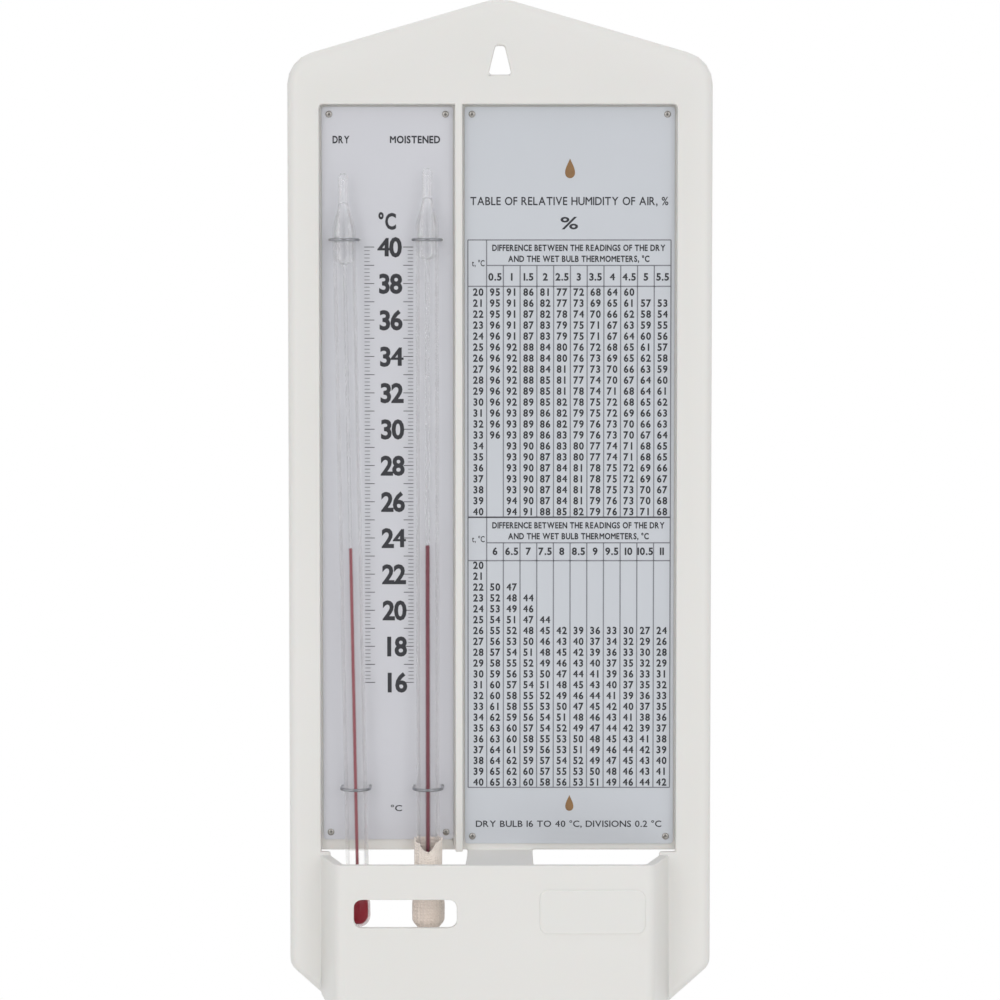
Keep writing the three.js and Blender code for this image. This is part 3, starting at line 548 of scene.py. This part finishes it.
for degree in range(scale["bottom"], scale["top"] + 1, scale["figureStep"]):
    downShare = (scale["top"] - degree) / degreeSpan
    scaleParts += figureRun(str(degree), between(scale["figureXTop"], scale["figureXBottom"], downShare),
                            between(scale["topDrop"], scale["bottomDrop"], downShare), scale["figure"],
                            scale["figureCell"])
ticks = np.arange(degreeSpan * scale["ticksPerDegree"] + 1)
tickDrops = between(scale["topDrop"], scale["bottomDrop"], ticks / ticks[-1])
wholeDegree = ticks % scale["ticksPerDegree"] == 0
thickness = np.where(wholeDegree, scale["longTick"], scale["tick"]) / 2
for start, shortEnd, longEnd in (scale["leftTicks"], scale["rightTicks"]):
    end = np.where(wholeDegree, longEnd, shortEnd)
    scaleParts += bars(np.stack([np.minimum(start, end), np.maximum(start, end),
                                 tickDrops - thickness, tickDrops + thickness], -1))
for words, x, drop, height, width, weight in scale["labels"]:
    scaleParts += textRun(words, x, drop, height, width, ink[weight])
printLayer("scale_print", scaleParts, darkInk)

# Humidity table: two blocks of rows by dry bulb temperature and columns by the difference of the two bulbs.
# A block is given by its head's top and bottom, its first row and its row pitch, a head line by its words,
# drop and width, and blank cells by their block, column, first row and last row.
table = {"left": -9.1, "right": 48.4, "firstColumn": -6.17, "columnPitch": 4.747, "columns": 12, "rows": 21,
         "blocks": ((54.6, 67.7, 69.3, 3.115), (133.3, 145.6, 146.9, 3.105)), "rule": 0.34, "figure": 2,
         "figureCell": 1.6, "lowest": 20, "step": 0.5, "headLetter": 1.7, "headDivide": 7.2,
         "headFigureRise": 2.7, "cornerWidth": 3.6,
         "headLines": (("DIFFERENCE BETWEEN THE READINGS OF THE DRY", 2.2, 49),
                       ("AND THE WET BULB THERMOMETERS, °C", 5.3, 40)),
         "blankCells": ((0, 1, 14, 20), (0, 10, 0, 0), (0, 11, 0, 0), (1, 1, 0, 1), (1, 2, 0, 1),
                        (1, 3, 0, 2), (1, 4, 0, 4), *((1, column, 0, 5) for column in range(5, 12)))}
blanks = {(block, row, column) for block, column, first, last in table["blankCells"]
          for row in range(first, last + 1)}
air = {"pressure": 1013, "stillFactor": 0.0008, "atZero": 6.112, "rise": 17.62, "offset": 243.12}


# Pressure of saturated vapour in hPa, as its value at zero times e to the power rise * t / (offset + t)
def vapourPressure(temperature):
    return air["atZero"] * math.exp(air["rise"] * temperature / (air["offset"] + temperature))


# Relative humidity: vapour pressure at the wet bulb, less the still air term, over that at the dry bulb
def humidity(dry, difference):
    present = vapourPressure(dry - difference) - air["stillFactor"] * air["pressure"] * difference
    return max(1, round(100 * present / vapourPressure(dry)))


columnX = table["firstColumn"] + np.arange(table["columns"]) * table["columnPitch"]
borders = np.concatenate([[table["left"]], (columnX[:-1] + columnX[1:]) / 2, [table["right"]]])
figureParts, ruleBoxes = [], []
for block, (headTop, headBottom, firstRow, rowPitch) in enumerate(table["blocks"]):
    figureParts += textRun("t, °C", columnX[0], (headTop + headBottom) / 2, table["headLetter"],
                           table["cornerWidth"])
    for words, lineDrop, lineWidth in table["headLines"]:
        figureParts += textRun(words, (borders[1] + borders[-1]) / 2, headTop + lineDrop, table["headLetter"],
                               lineWidth, ink["boldShare"])
    columnsBefore = block * (table["columns"] - 1)
    differences = [table["step"] * (columnsBefore + column) for column in range(1, table["columns"])]
    for x, difference in zip(columnX[1:], differences):
        figureParts += textRun(f"{difference:g}", x, headBottom - table["headFigureRise"], table["figure"],
                               weight=ink["boldShare"])
    for row in range(table["rows"]):
        dry, drop = table["lowest"] + row, firstRow + row * rowPitch
        for column, number in enumerate([dry] + [humidity(dry, difference) for difference in differences]):
            if (block, row, column) not in blanks:
                figureParts += figureRun(str(number), columnX[column], drop, table["figure"],
                                         table["figureCell"])
    lastRow = firstRow + (table["rows"] - 0.5) * rowPitch
    dividedTop = headTop + table["headDivide"]
    thin = table["rule"] / 2
    for x in borders:
        ruleBoxes.append((x - thin, x + thin, headTop if x in borders[[0, 1, -1]] else dividedTop, lastRow))
    for start, y in ((table["left"], headTop), (borders[1], dividedTop), (table["left"], headBottom),
                     (table["left"], lastRow)):
        ruleBoxes.append((start, table["right"], y - thin, y + thin))
printLayer("table_figures", figureParts, tableInk)
printLayer("table_rules", bars(ruleBoxes), ruleInk)

# Heading and foot line of the table, each given by its words, drop, height and width
heading = {"x": 19.6, "lines": (("TABLE OF RELATIVE HUMIDITY OF AIR, %", 43.6, 2.3, 56), ("%", 49.8, 3.4, 5),
                                ("DRY BULB 16 TO 40 °C, DIVISIONS 0.2 °C", 221, 1.8, 53))}
headingParts = []
for words, drop, height, width in heading["lines"]:
    headingParts += textRun(words, heading["x"], drop, height, width)
printLayer("table_heading", headingParts, darkInk)

# Drop marks at the head and the foot: x = half width * sin t * sin(t / 2) to the taper, as t goes once round
dropMark = {"x": 19.8, "marks": ((34.4, 5.6), (215, 4.6)), "widthShare": 0.36, "taper": 1.5, "hubShare": 0.1,
            "corners": 32}
ochreInk = mottledMaterial("ochreScreenInk", {"light": "#A07A4A", "dark": "#7E5C3C", **finePrint})
turn = np.linspace(0, fullTurn, dropMark["corners"], endpoint=False)
spokes = np.arange(dropMark["corners"])
fan = np.stack([spokes, (spokes + 1) % len(spokes), np.full(len(spokes), len(spokes))], -1)
shapeX = dropMark["widthShare"] * np.sin(turn) * np.sin(turn / 2) ** dropMark["taper"]
dropParts = []
for drop, tall in dropMark["marks"]:
    markX = dropMark["x"] + np.append(tall * shapeX, 0)
    markDrop = drop + np.append(-tall / 2 * np.cos(turn), tall * dropMark["hubShare"])
    dropParts.append((place(markX, inkDepth, markDrop), fan))
printLayer("drop_marks", dropParts, ochreInk)
print("print made,", len(figureParts), "table characters")

# Thermometers: drawn soda glass, clear and even, which bends the view of the column inside and widens it
tube = {"stem": 3.3, "bulb": 3.5, "bulbLength": 10, "length": 212.5, "neck": 1.45, "neckLength": 6.6,
        "shoulder": 8.5, "cavity": 2.8, "cavityLength": 8.6, "cavityShoulder": 2.6, "bulbGlass": 0.9,
        "chamber": 1.9, "chamberLength": 9, "chamberFoot": 2, "tipBore": 0.6, "boreEnd": 1, "tipHeight": 1.7,
        "meniscus": 0.35, "overlap": 0.03, "depth": 33.21, "fadeRun": 1}
thermometers = {"dry": {"x": -40.3, "bulbDrop": 250, "columnTop": 141.7, "leanRun": 3.6, "bore": 0.34,
                        "light": "#B83A48", "dark": "#9C2636", "column": "#A4646A"},
                "wet": {"x": -20.5, "bulbDrop": 248.6, "columnTop": 140.9, "leanRun": 0, "bore": 0.46,
                        "light": "#8E2A38", "dark": "#6E1424", "column": "#86525A"}}
stapleDrops = {"upper": 54.6, "lower": 210.2}
drawnGlass = startMaterial("drawnSodaGlass", {
    "Base Color": (1, 1, 1, 1), "Roughness": 0.03, "IOR": 1.5, "Transmission Weight": 1, "Alpha": 0.45})
for name, made in thermometers.items():
    bore, bulbDrop = made["bore"], made["bulbDrop"]
    lean = math.atan2(made["leanRun"], bulbDrop - stapleDrops["upper"])
    neckBase = tube["length"] - tube["neckLength"]
    shoulderBase = neckBase - tube["shoulder"]
    chamberBase = shoulderBase - tube["chamberLength"]
    cavityTop = tube["bulbGlass"] + tube["cavityLength"]
    cavityShoulder = cavityTop - tube["cavityShoulder"]
    outside = np.concatenate([
        quarterArc((0, 0), (tube["bulb"], tube["bulb"]), True),
        [(tube["bulb"], tube["bulbLength"] - tube["bulb"])],
        [(tube["stem"], tube["bulbLength"]), (tube["stem"], shoulderBase)],
        slope(tube["stem"], shoulderBase, tube["neck"], neckBase),
        quarterArc((tube["neck"], tube["length"]), (0, tube["length"] + tube["tipHeight"]), False)])
    hollow = np.concatenate([
        quarterArc((0, tube["bulbGlass"]), (tube["cavity"], tube["bulbGlass"] + tube["cavity"]), True),
        quarterArc((tube["cavity"], cavityShoulder), (bore, cavityTop), False, steps=6),
        [(bore, chamberBase)],
        quarterArc((bore, chamberBase), (tube["chamber"], chamberBase + tube["chamberFoot"]), True, steps=6),
        quarterArc((tube["chamber"], shoulderBase), (tube["tipBore"], neckBase), False, steps=8),
        quarterArc((tube["tipBore"], tube["length"] - tube["boreEnd"]), (0, tube["length"]), False, steps=6)])
    grids = [turnedGrid(profile, made["x"], tube["depth"], bulbDrop, lean) for profile in (outside, hollow)]
    addSurface(f"{name}_tube", grids, drawnGlass, inward=(1,),
               replaced=[f"{name}_thermometer_glass", f"{name}_thermometer_sealed_tip"])
    columnTop = bulbDrop - made["columnTop"]
    wide, over = tube["cavity"] + tube["overlap"], bore + tube["overlap"]
    low = tube["bulbGlass"] - tube["overlap"]
    liquid = np.concatenate([
        quarterArc((0, low), (wide, low + wide), True),
        quarterArc((wide, cavityShoulder), (over, cavityTop), False, steps=6),
        [(over, columnTop)],
        quarterArc((over, columnTop), (0, columnTop - tube["meniscus"]), True, steps=5)])

    # The bore is too fine to show the spirit's full colour, so above the bulb it looks duller and paler
    spirit = mottledMaterial(f"redSpirit_{name}", {
        "light": made["light"], "dark": made["dark"], "blotch": 6, "grain": 3, "relief": 0.001,
        "smooth": 0.08, "rough": 0.12}, {"IOR": 1.36, "Specular IOR Level": 0.2})
    spiritTree, spiritColor = spirit.node_tree, shaderOf(spirit).inputs["Base Color"]
    position = addNode(spiritTree, "ShaderNodeTexCoord").outputs["Object"]
    upright = addNode(spiritTree, "ShaderNodeSeparateXYZ", None, {"Vector": position}).outputs["Z"]
    columnShare = addNode(spiritTree, "ShaderNodeMapRange", None, {
        "Value": upright, "From Min": (cavityShoulder - bulbDrop) * millimetre,
        "From Max": (cavityTop - bulbDrop + tube["fadeRun"]) * millimetre}).outputs["Result"]
    columnTone = addNode(spiritTree, "ShaderNodeMix", {"data_type": "RGBA"}, {
        0: columnShare, 6: spiritColor.links[0].from_socket, 7: linearColor(made["column"])})
    spiritTree.links.new(columnTone.outputs[2], spiritColor)
    column = turnedGrid(liquid, made["x"], tube["depth"], bulbDrop, lean, sides=32)
    addSurface(f"{name}_spirit", [column], spirit, replaced=[f"{name}_thermometer_spirit"])
print("thermometers made")

# Staples: half-hard steel wire, drawn, its zinc gone grey; legs through plate and floor, turned in behind
staple = {"wire": 0.43, "clear": 0.3, "turnIn": 2.3, "bend": 0.7, "backDepth": 25.05, "archSteps": 32,
          "bendSteps": 8, "sides": 16}
greyWire = mottledMaterial("drawnGreyWire", {
    "light": "#A3A4A8", "dark": "#898A8E", "blotch": 1.5, "grain": 0.2, "relief": 0.004,
    "smooth": 0.12, "rough": 0.24}, {"Metallic": 1})
reach = tube["stem"] + staple["clear"] + staple["wire"]
arch = np.linspace(0, math.pi, staple["archSteps"] + 1)
bend = np.linspace(0, quarterTurn, staple["bendSteps"] + 1)
legInset = np.concatenate([[staple["turnIn"]], staple["bend"] * (1 - np.sin(bend))])
legDepth = staple["backDepth"] + np.concatenate([[0], staple["bend"] * (1 - np.cos(bend))])
wireX = np.concatenate([legInset - reach, -reach * np.cos(arch), (reach - legInset)[::-1]])
wireDepth = np.concatenate([legDepth, tube["depth"] + reach * np.sin(arch), legDepth[::-1]])
wireSection = roundPoints(staple["wire"] * millimetre, np.linspace(0, fullTurn, staple["sides"] + 1))
for name, made in thermometers.items():
    for where, drop in stapleDrops.items():
        leanShare = (made["bulbDrop"] - drop) / (made["bulbDrop"] - stapleDrops["upper"])
        path = place(made["x"] - made["leanRun"] * leanShare + wireX, wireDepth, drop)
        addSurface(f"{name}_{where}_wire", [sweptGrid(path, upwards, wireSection)], greyWire,
                   replaced=[f"{name}_{where}_staple"])
print("staples made")

# Wick: bleached cotton cambric sewn to a sleeve, drawn over the bulb and gathered under it into a tail. Its
# threads lie about a quarter of a millimetre apart, and are drawn twice as far apart so that they show.
wick = {"x": -20.5, "top": 224.6, "upperTie": 236.5, "bulbBottom": 248.6, "lowerTie": 252, "end": 280.6,
        "sleeve": 3.95, "overBulb": 4.6, "widensFrom": 238, "widensRun": 5, "neck": 1.75, "tail": 1.85,
        "gatherLead": 1.2, "tailLead": 1.6, "tailRun": 6, "folds": 7, "crossFolds": 11, "crossFoldShare": 0.4,
        "sleeveFold": 0.1, "neckFold": 0.22, "tailFold": 0.64, "wander": ((0.5, 0.21, 0), (0.25, 0.53, 1)),
        "tieDip": 0.12, "tieDipSpread": 1.6, "seam": 0.16, "seamAngle": 2.2, "seamSpread": 0.09,
        "fray": ((0.1, 11, 1 + quarterTurn),), "frayReach": 1.2, "slitDepth": 3.2, "slitAngle": 1.6,
        "slitSpread": 0.72, "edge": ((0.25, 5, 0), (0.15, 13, 0)), "rows": 150, "columns": 120, "cloth": 0.42,
        "flatWidth": 26.5, "flatLength": 57, "thread": 0.5, "threadRelief": 0.16, "threadShadeShare": 0.06,
        "dry": "#FFF3E8", "damp": "#FFEBDD", "dampFrom": 0.3, "dampTo": 0.95, "patchShare": 0.5}
cambric = startMaterial("cottonCambric", {
    "Roughness": 0.92, "Sheen Weight": 0.5, "Sheen Roughness": 0.6, "Specular IOR Level": 0.2})
clothTree, clothShader = cambric.node_tree, shaderOf(cambric)
along = addNode(clothTree, "ShaderNodeUVMap", {"uv_map": "along"}).outputs["UV"]
threads = [addNode(clothTree, "ShaderNodeTexWave", {"bands_direction": axis}, {
    "Vector": along, "Scale": run / wick["thread"] / fullTurn, "Distortion": 0.6, "Detail": 1,
    "Detail Scale": 3}).outputs["Fac"] for axis, run in (("X", wick["flatWidth"]), ("Y", wick["flatLength"]))]
weave = addNode(clothTree, "ShaderNodeMath", {"operation": "MULTIPLY"}, {
    0: threads[0], 1: threads[1]}).outputs["Value"]

# Damp rises from the tail in patches, and makes the cloth a little darker
lengthShare = addNode(clothTree, "ShaderNodeSeparateXYZ", None, {"Vector": along}).outputs["Y"]
patches = addNode(clothTree, "ShaderNodeTexNoise", None, {"Vector": along, "Scale": 6, "Detail": 3})
wetness = addNode(clothTree, "ShaderNodeMath", {"operation": "MULTIPLY_ADD"}, {
    0: patches.outputs["Fac"], 1: wick["patchShare"], 2: lengthShare}).outputs["Value"]
dampShare = addNode(clothTree, "ShaderNodeMapRange", None, {
    "Value": wetness, "From Min": wick["dampFrom"], "From Max": wick["dampTo"]}).outputs["Result"]
clothTone = addNode(clothTree, "ShaderNodeMix", {"data_type": "RGBA"}, {
    0: dampShare, 6: linearColor(wick["dry"]), 7: linearColor(wick["damp"])})
# Painted shade: the weave darkens the cloth's colour a little in the grooves between its threads, beside the
# bump that gives them relief
weaveShadedTone = addNode(clothTree, "ShaderNodeMix", {"data_type": "RGBA", "blend_type": "MULTIPLY"}, {
    0: wick["threadShadeShare"], 6: clothTone.outputs[2], 7: weave})
clothBump = addNode(clothTree, "ShaderNodeBump", None, {
    "Height": weave, "Strength": 1, "Distance": wick["threadRelief"] * millimetre})
clothTree.links.new(weaveShadedTone.outputs[2], clothShader.inputs["Base Color"])
clothTree.links.new(clothBump.outputs["Normal"], clothShader.inputs["Normal"])


# Sum of waves, each given by its height, rate and phase, as height * sin(rate * value + phase)
def waves(value, terms):
    return sum(height * np.sin(rate * value + phase) for height, rate, phase in terms)


# Ridge that runs down one side: e to the power of less the square of the turn from its middle over its spread
def ridge(angle, middle, spread):
    return np.exp(-(np.angle(np.exp(1j * (angle - middle))) / spread) ** 2)


# Radius = run of the sleeve down its length, plus folds that deepen where the cloth is gathered, less a dip
# under the upper tie, plus a sewn seam and a frayed top. Drop = an even run, plus a slit and a wavy top edge.
drop = np.linspace(wick["top"], wick["end"], wick["rows"])[:, None]
angle = np.linspace(0, fullTurn, wick["columns"] + 1)[None, :]
fromTop = drop - wick["top"]
gatherFrom = wick["bulbBottom"] - wick["gatherLead"]
bulbShare = np.clip((drop - wick["widensFrom"]) / wick["widensRun"], 0, 1)
gatheredShare = smoothStep(np.clip((drop - gatherFrom) / (wick["lowerTie"] - gatherFrom), 0, 1))
tailShare = np.clip((drop - wick["lowerTie"] - wick["tailLead"]) / wick["tailRun"], 0, 1)
run = between(between(wick["sleeve"], wick["overBulb"], bulbShare),
              between(wick["neck"], wick["tail"], tailShare), gatheredShare)
foldDepth = between(wick["sleeveFold"], between(wick["neckFold"], wick["tailFold"], tailShare), gatheredShare)
wander = waves(drop, wick["wander"])
folds = np.cos(wick["folds"] * angle + wander)
folds = folds + wick["crossFoldShare"] * np.cos(wick["crossFolds"] * angle - 2 * wander)
tieDip = wick["tieDip"] * np.exp(-((drop - wick["upperTie"]) / wick["tieDipSpread"]) ** 2)
seam = wick["seam"] * ridge(angle, wick["seamAngle"], wick["seamSpread"]) * (1 - gatheredShare)
fray = waves(angle, wick["fray"]) * np.exp(-fromTop / wick["frayReach"])
radius = run + foldDepth * folds - tieDip + seam + fray
slit = wick["slitDepth"] * ridge(angle, wick["slitAngle"], wick["slitSpread"])
edge = (slit + waves(angle, wick["edge"])) * np.exp(-fromTop / wick["slitDepth"])
wickGrid = place(wick["x"] + radius * np.cos(angle), tube["depth"] + radius * np.sin(angle), drop + edge)
wickPiece = addSurface("cambric_wick", [wickGrid], cambric, replaced=["wick"], creased=60)
thick = wickPiece.modifiers.new("clothThickness", "SOLIDIFY")
thick.thickness = wick["cloth"] * millimetre
thick.offset = -1

# Ties: two-ply cotton thread, three turns; the plies show as a twist along it
tie = {"radius": 0.25, "pitch": 0.95, "turns": 3, "plyDepth": 0.05, "plyPitch": 1.1, "plyPower": 4,
       "stepsPerTurn": 48, "sides": 12,
       "places": (("upper", wick["upperTie"], 4.7), ("lower", wick["lowerTie"], 2.55))}
cottonThread = mottledMaterial("cottonThread", {
    "light": "#D9C9B2", "dark": "#B7A288", "blotch": 1.2, "grain": 0.12, "relief": 0.05,
    "smooth": 0.85, "rough": 0.95}, {"Sheen Weight": 0.3, "Specular IOR Level": 0.2})
turn = np.linspace(0, tie["turns"], tie["turns"] * tie["stepsPerTurn"] + 1)
around = np.linspace(0, fullTurn, tie["sides"] + 1)[None, :]
for where, middleDrop, coil in tie["places"]:
    path = place(wick["x"] + coil * np.cos(fullTurn * turn), tube["depth"] + coil * np.sin(fullTurn * turn),
                 middleDrop + (turn - tie["turns"] / 2) * tie["pitch"])
    outwards = path - place(wick["x"], tube["depth"], middleDrop)
    outwards[:, 2] = 0
    twist = fullTurn * (turn * fullTurn * coil / tie["plyPitch"])[:, None]
    ply = tie["radius"] - tie["plyDepth"] * np.abs(np.sin(around + twist / 2)) ** tie["plyPower"]
    addSurface(f"wick_{where}_thread", [sweptGrid(path, outwards, roundPoints(ply, around) * millimetre)],
               cottonThread, replaced=[f"wick_tie_{where}"], creased=80)
print("wick and ties made")

# Feeder: a closed reservoir and a short open leg, blown and bent from one glass tube, its mouth fire-polished
feeder = {"longX": 0, "longDepth": 12.7, "tube": 4.5, "wall": 1, "reservoir": 7, "top": 152, "shoulder": 262,
          "shoulderRun": 6, "mouth": 268.6, "bend": 280.6, "water": 271.6, "airGap": 14, "overlap": 0.03,
          "legSteps": 7, "bendSteps": 48, "shoulderSteps": 12, "straightSteps": 11, "domeSteps": 13,
          "rimSteps": 8}
legs = np.array([(wick["x"], -tube["depth"], 0), (feeder["longX"], -feeder["longDepth"], 0)])
span = legs[1] - legs[0]
halfSpan = np.linalg.norm(span) / 2
across = span / np.linalg.norm(span)
sideways = np.cross(across, upwards)


# Centre line, its normal in the plane of the bend, and a radius for each ring, from the mouth to the top of
# the reservoir: the short leg, half a turn, a smooth step outwards, a straight run, and a dome or a flat end
def feederRings(skin, mouthDrop, topDrop, domed):
    narrow, wide = feeder["tube"] - skin, feeder["reservoir"] - skin
    legDrop = np.linspace(mouthDrop, feeder["bend"], feeder["legSteps"] + 1)[:-1]
    turn = np.linspace(0, math.pi, feeder["bendSteps"] + 1)
    share = np.linspace(0, 1, feeder["shoulderSteps"] + 1)
    straight = np.linspace(feeder["shoulder"], topDrop + wide * domed, feeder["straightSteps"] + 1)[1:]
    endAngle = np.linspace(0, quarterTurn, feeder["domeSteps"] + 1)[1:] if domed else np.array([quarterTurn])
    longDrop = np.concatenate([feeder["shoulder"] + feeder["shoulderRun"] * (1 - share), straight,
                               topDrop + wide * (1 - np.sin(endAngle))])
    centres = np.concatenate([
        legs[0] - np.outer(legDrop, upwards),
        legs.mean(0) - np.outer(np.cos(turn), across) * halfSpan
        - np.outer(feeder["bend"] + np.sin(turn) * halfSpan, upwards),
        legs[1] - np.outer(longDrop, upwards)])
    normals = np.concatenate([
        np.broadcast_to(-across, (len(legDrop), 3)),
        -np.outer(np.cos(turn), across) - np.outer(np.sin(turn), upwards),
        np.broadcast_to(across, (len(longDrop), 3))])
    radii = np.concatenate([
        np.full(len(legDrop) + len(turn), narrow), between(narrow, wide, smoothStep(share)),
        np.full(len(straight), wide), wide * np.cos(endAngle)])
    return centres * millimetre, normals, radii * millimetre


# Ring = centre + radius * (cos * normal + sin * sideways), one ring for each centre
def ringGrid(centres, normals, radii, sides=48):
    angle = np.linspace(0, fullTurn, sides + 1)[None, :, None]
    outwards = np.cos(angle) * normals[:, None] + np.sin(angle) * sideways
    return centres[:, None] + radii[:, None, None] * outwards


outer = feederRings(0, feeder["mouth"], feeder["top"], True)
inner = feederRings(feeder["wall"], feeder["mouth"], feeder["top"] + feeder["wall"], True)
halfWall = feeder["wall"] / 2
rimAngle = np.linspace(0, math.pi, feeder["rimSteps"] + 1)[1:-1]
rim = ((legs[0] - np.outer(feeder["mouth"] - halfWall * np.sin(rimAngle), upwards)) * millimetre,
       np.broadcast_to(-across, (len(rimAngle), 3)),
       (feeder["tube"] - halfWall + halfWall * np.cos(rimAngle)) * millimetre)
glassRings = [np.concatenate([out[::-1], edge, into]) for out, edge, into in zip(outer, rim, inner)]
blownGlass = startMaterial("blownSodaGlass", {
    "Base Color": linearColor("#FBFEFD"), "Roughness": 0.02, "IOR": 1.5, "Transmission Weight": 1})
addSurface("feeder_tube", [ringGrid(*glassRings)], blownGlass, replaced=["feeder_glass"],
           body="feeder")

# Water: clear and still, its rings a little into the glass so that no air shows between them
clearWater = startMaterial("clearWater", {
    "Base Color": linearColor("#FBFEFF"), "Roughness": 0, "IOR": 1.33, "Transmission Weight": 1})
filling = feederRings(feeder["wall"] - feeder["overlap"], feeder["water"],
                      feeder["top"] + feeder["wall"] + feeder["airGap"], False)
centres, normals, radii = (np.concatenate([part[:1], part]) for part in filling)
radii[0] = 0  # a flat surface in the mouth
addSurface("feeder_filling", [ringGrid(centres, normals, radii)], clearWater,
           replaced=["feeder_water"], body="feeder")
print("feeder made")

# Clips: spring steel strip, rolled, blued then zinc plated; a flat foot, two arms and lips turned out
clip = {"band": 0.8, "height": 8, "opening": 9.4, "clear": 0.3, "lip": 2.6, "foot": 8, "standOff": 2.3,
        "edge": 0.18, "elbowRun": 1.2, "elbowShare": 0.45, "armSteps": 48, "lipSteps": 6, "elbowSteps": 8,
        "drops": (("upper", 172), ("lower", 212))}
springStrip = mottledMaterial("springStrip", {
    "light": "#C6C8CA", "dark": "#A6A8AB", "blotch": 5, "grain": 0.25, "relief": 0.01,
    "smooth": 0.22, "rough": 0.38, "stretch": (6, 6, 1)}, {"Metallic": 1})
armRadius = feeder["reservoir"] + clip["clear"] + clip["band"] / 2
footDepth = feeder["reservoir"] + clip["standOff"] + clip["band"] / 2
openAngle = math.asin(clip["opening"] / 2 / armRadius)
startAngle = math.pi - math.atan2(clip["foot"] / 2 + clip["band"], footDepth - clip["standOff"])
sweepAngle = np.linspace(startAngle, openAngle, clip["armSteps"] + 1)
arm = roundPoints(armRadius, sweepAngle)[:, ::-1]
lip = arm[-1] + np.linspace(0, 1, clip["lipSteps"] + 1)[1:, None] * [clip["lip"] / 2, clip["lip"]]

# Elbow from the foot to the arm: a curve of the second degree that is pulled towards the corner
corner = np.array([clip["foot"] / 2, -footDepth])
share = np.linspace(0, 1, clip["elbowSteps"] + 1)[:, None]
elbow = ((1 - share) ** 2 * (corner - [clip["elbowRun"], 0]) + 2 * share * (1 - share) * corner
         + share ** 2 * between(corner, arm[0], clip["elbowShare"]))
halfBand = np.concatenate([elbow, arm, lip])
band = np.concatenate([(halfBand * [-1, 1])[::-1], halfBand])
stripSection = boxSection(clip["band"] * millimetre, clip["height"] * millimetre, clip["edge"] * millimetre)
for where, drop in clip["drops"]:
    path = place(band[:, 0], feeder["longDepth"] - band[:, 1], drop)
    outwards = np.cross(np.gradient(path, axis=0), upwards)
    addSurface(f"spring_clip_{where}", [sweptGrid(path, outwards, stripSection)], springStrip,
               replaced=[f"feeder_clip_{where}"])

# Screws: zinc plated, with domed heads and a straight slot, cut where the dome is near the middle line.
# Dome = height * square root of (1 - round share * square of the radius share), down to zero at the rim
screw = {"head": 2.5, "height": 1.2, "roundShare": 0.75, "slotWidth": 0.6, "slotDepth": 0.6, "slotEdge": 0.08,
         "slotAcross": (0.5, 0.87), "shank": 1.25, "length": 4.7, "rings": 24, "sides": 96}
zincScrew = mottledMaterial("zincPlatedScrew", {
    "light": "#B9B7AE", "dark": "#98968F", "blotch": 1.5, "grain": 0.2, "relief": 0.01,
    "smooth": 0.25, "rough": 0.4}, {"Metallic": 1})
clipFace = feeder["longDepth"] + feeder["reservoir"] + clip["standOff"]
radiusShare = np.linspace(0, 1, screw["rings"] + 1)[:, None]
turn = np.linspace(0, fullTurn, screw["sides"] + 1)
headX, headDrop = (screw["head"] * radiusShare * part for part in (np.cos(turn), np.sin(turn)))
dome = screw["height"] * np.sqrt(1 - screw["roundShare"] * radiusShare ** 2) * (radiusShare < 1)
fromSlot = np.abs(headX * screw["slotAcross"][0] + headDrop * screw["slotAcross"][1])
slotShare = np.clip((screw["slotWidth"] / 2 - fromSlot) / screw["slotEdge"], 0, 1)
relief = dome - np.minimum(screw["slotDepth"] * slotShare, dome)
shankProfile = [(screw["shank"], 0), (screw["shank"], screw["length"]), (0, screw["length"])]
for where, drop in clip["drops"]:
    head = place(headX, clipFace - relief, drop + headDrop)
    shank = buttonGrid(shankProfile, 0, clipFace, drop, screw["sides"])
    addSurface(f"clip_screw_{where}", [np.concatenate([head, shank])], zincScrew,
               replaced=[f"feeder_clip_screw_{where}"])
print("clips and screws made")
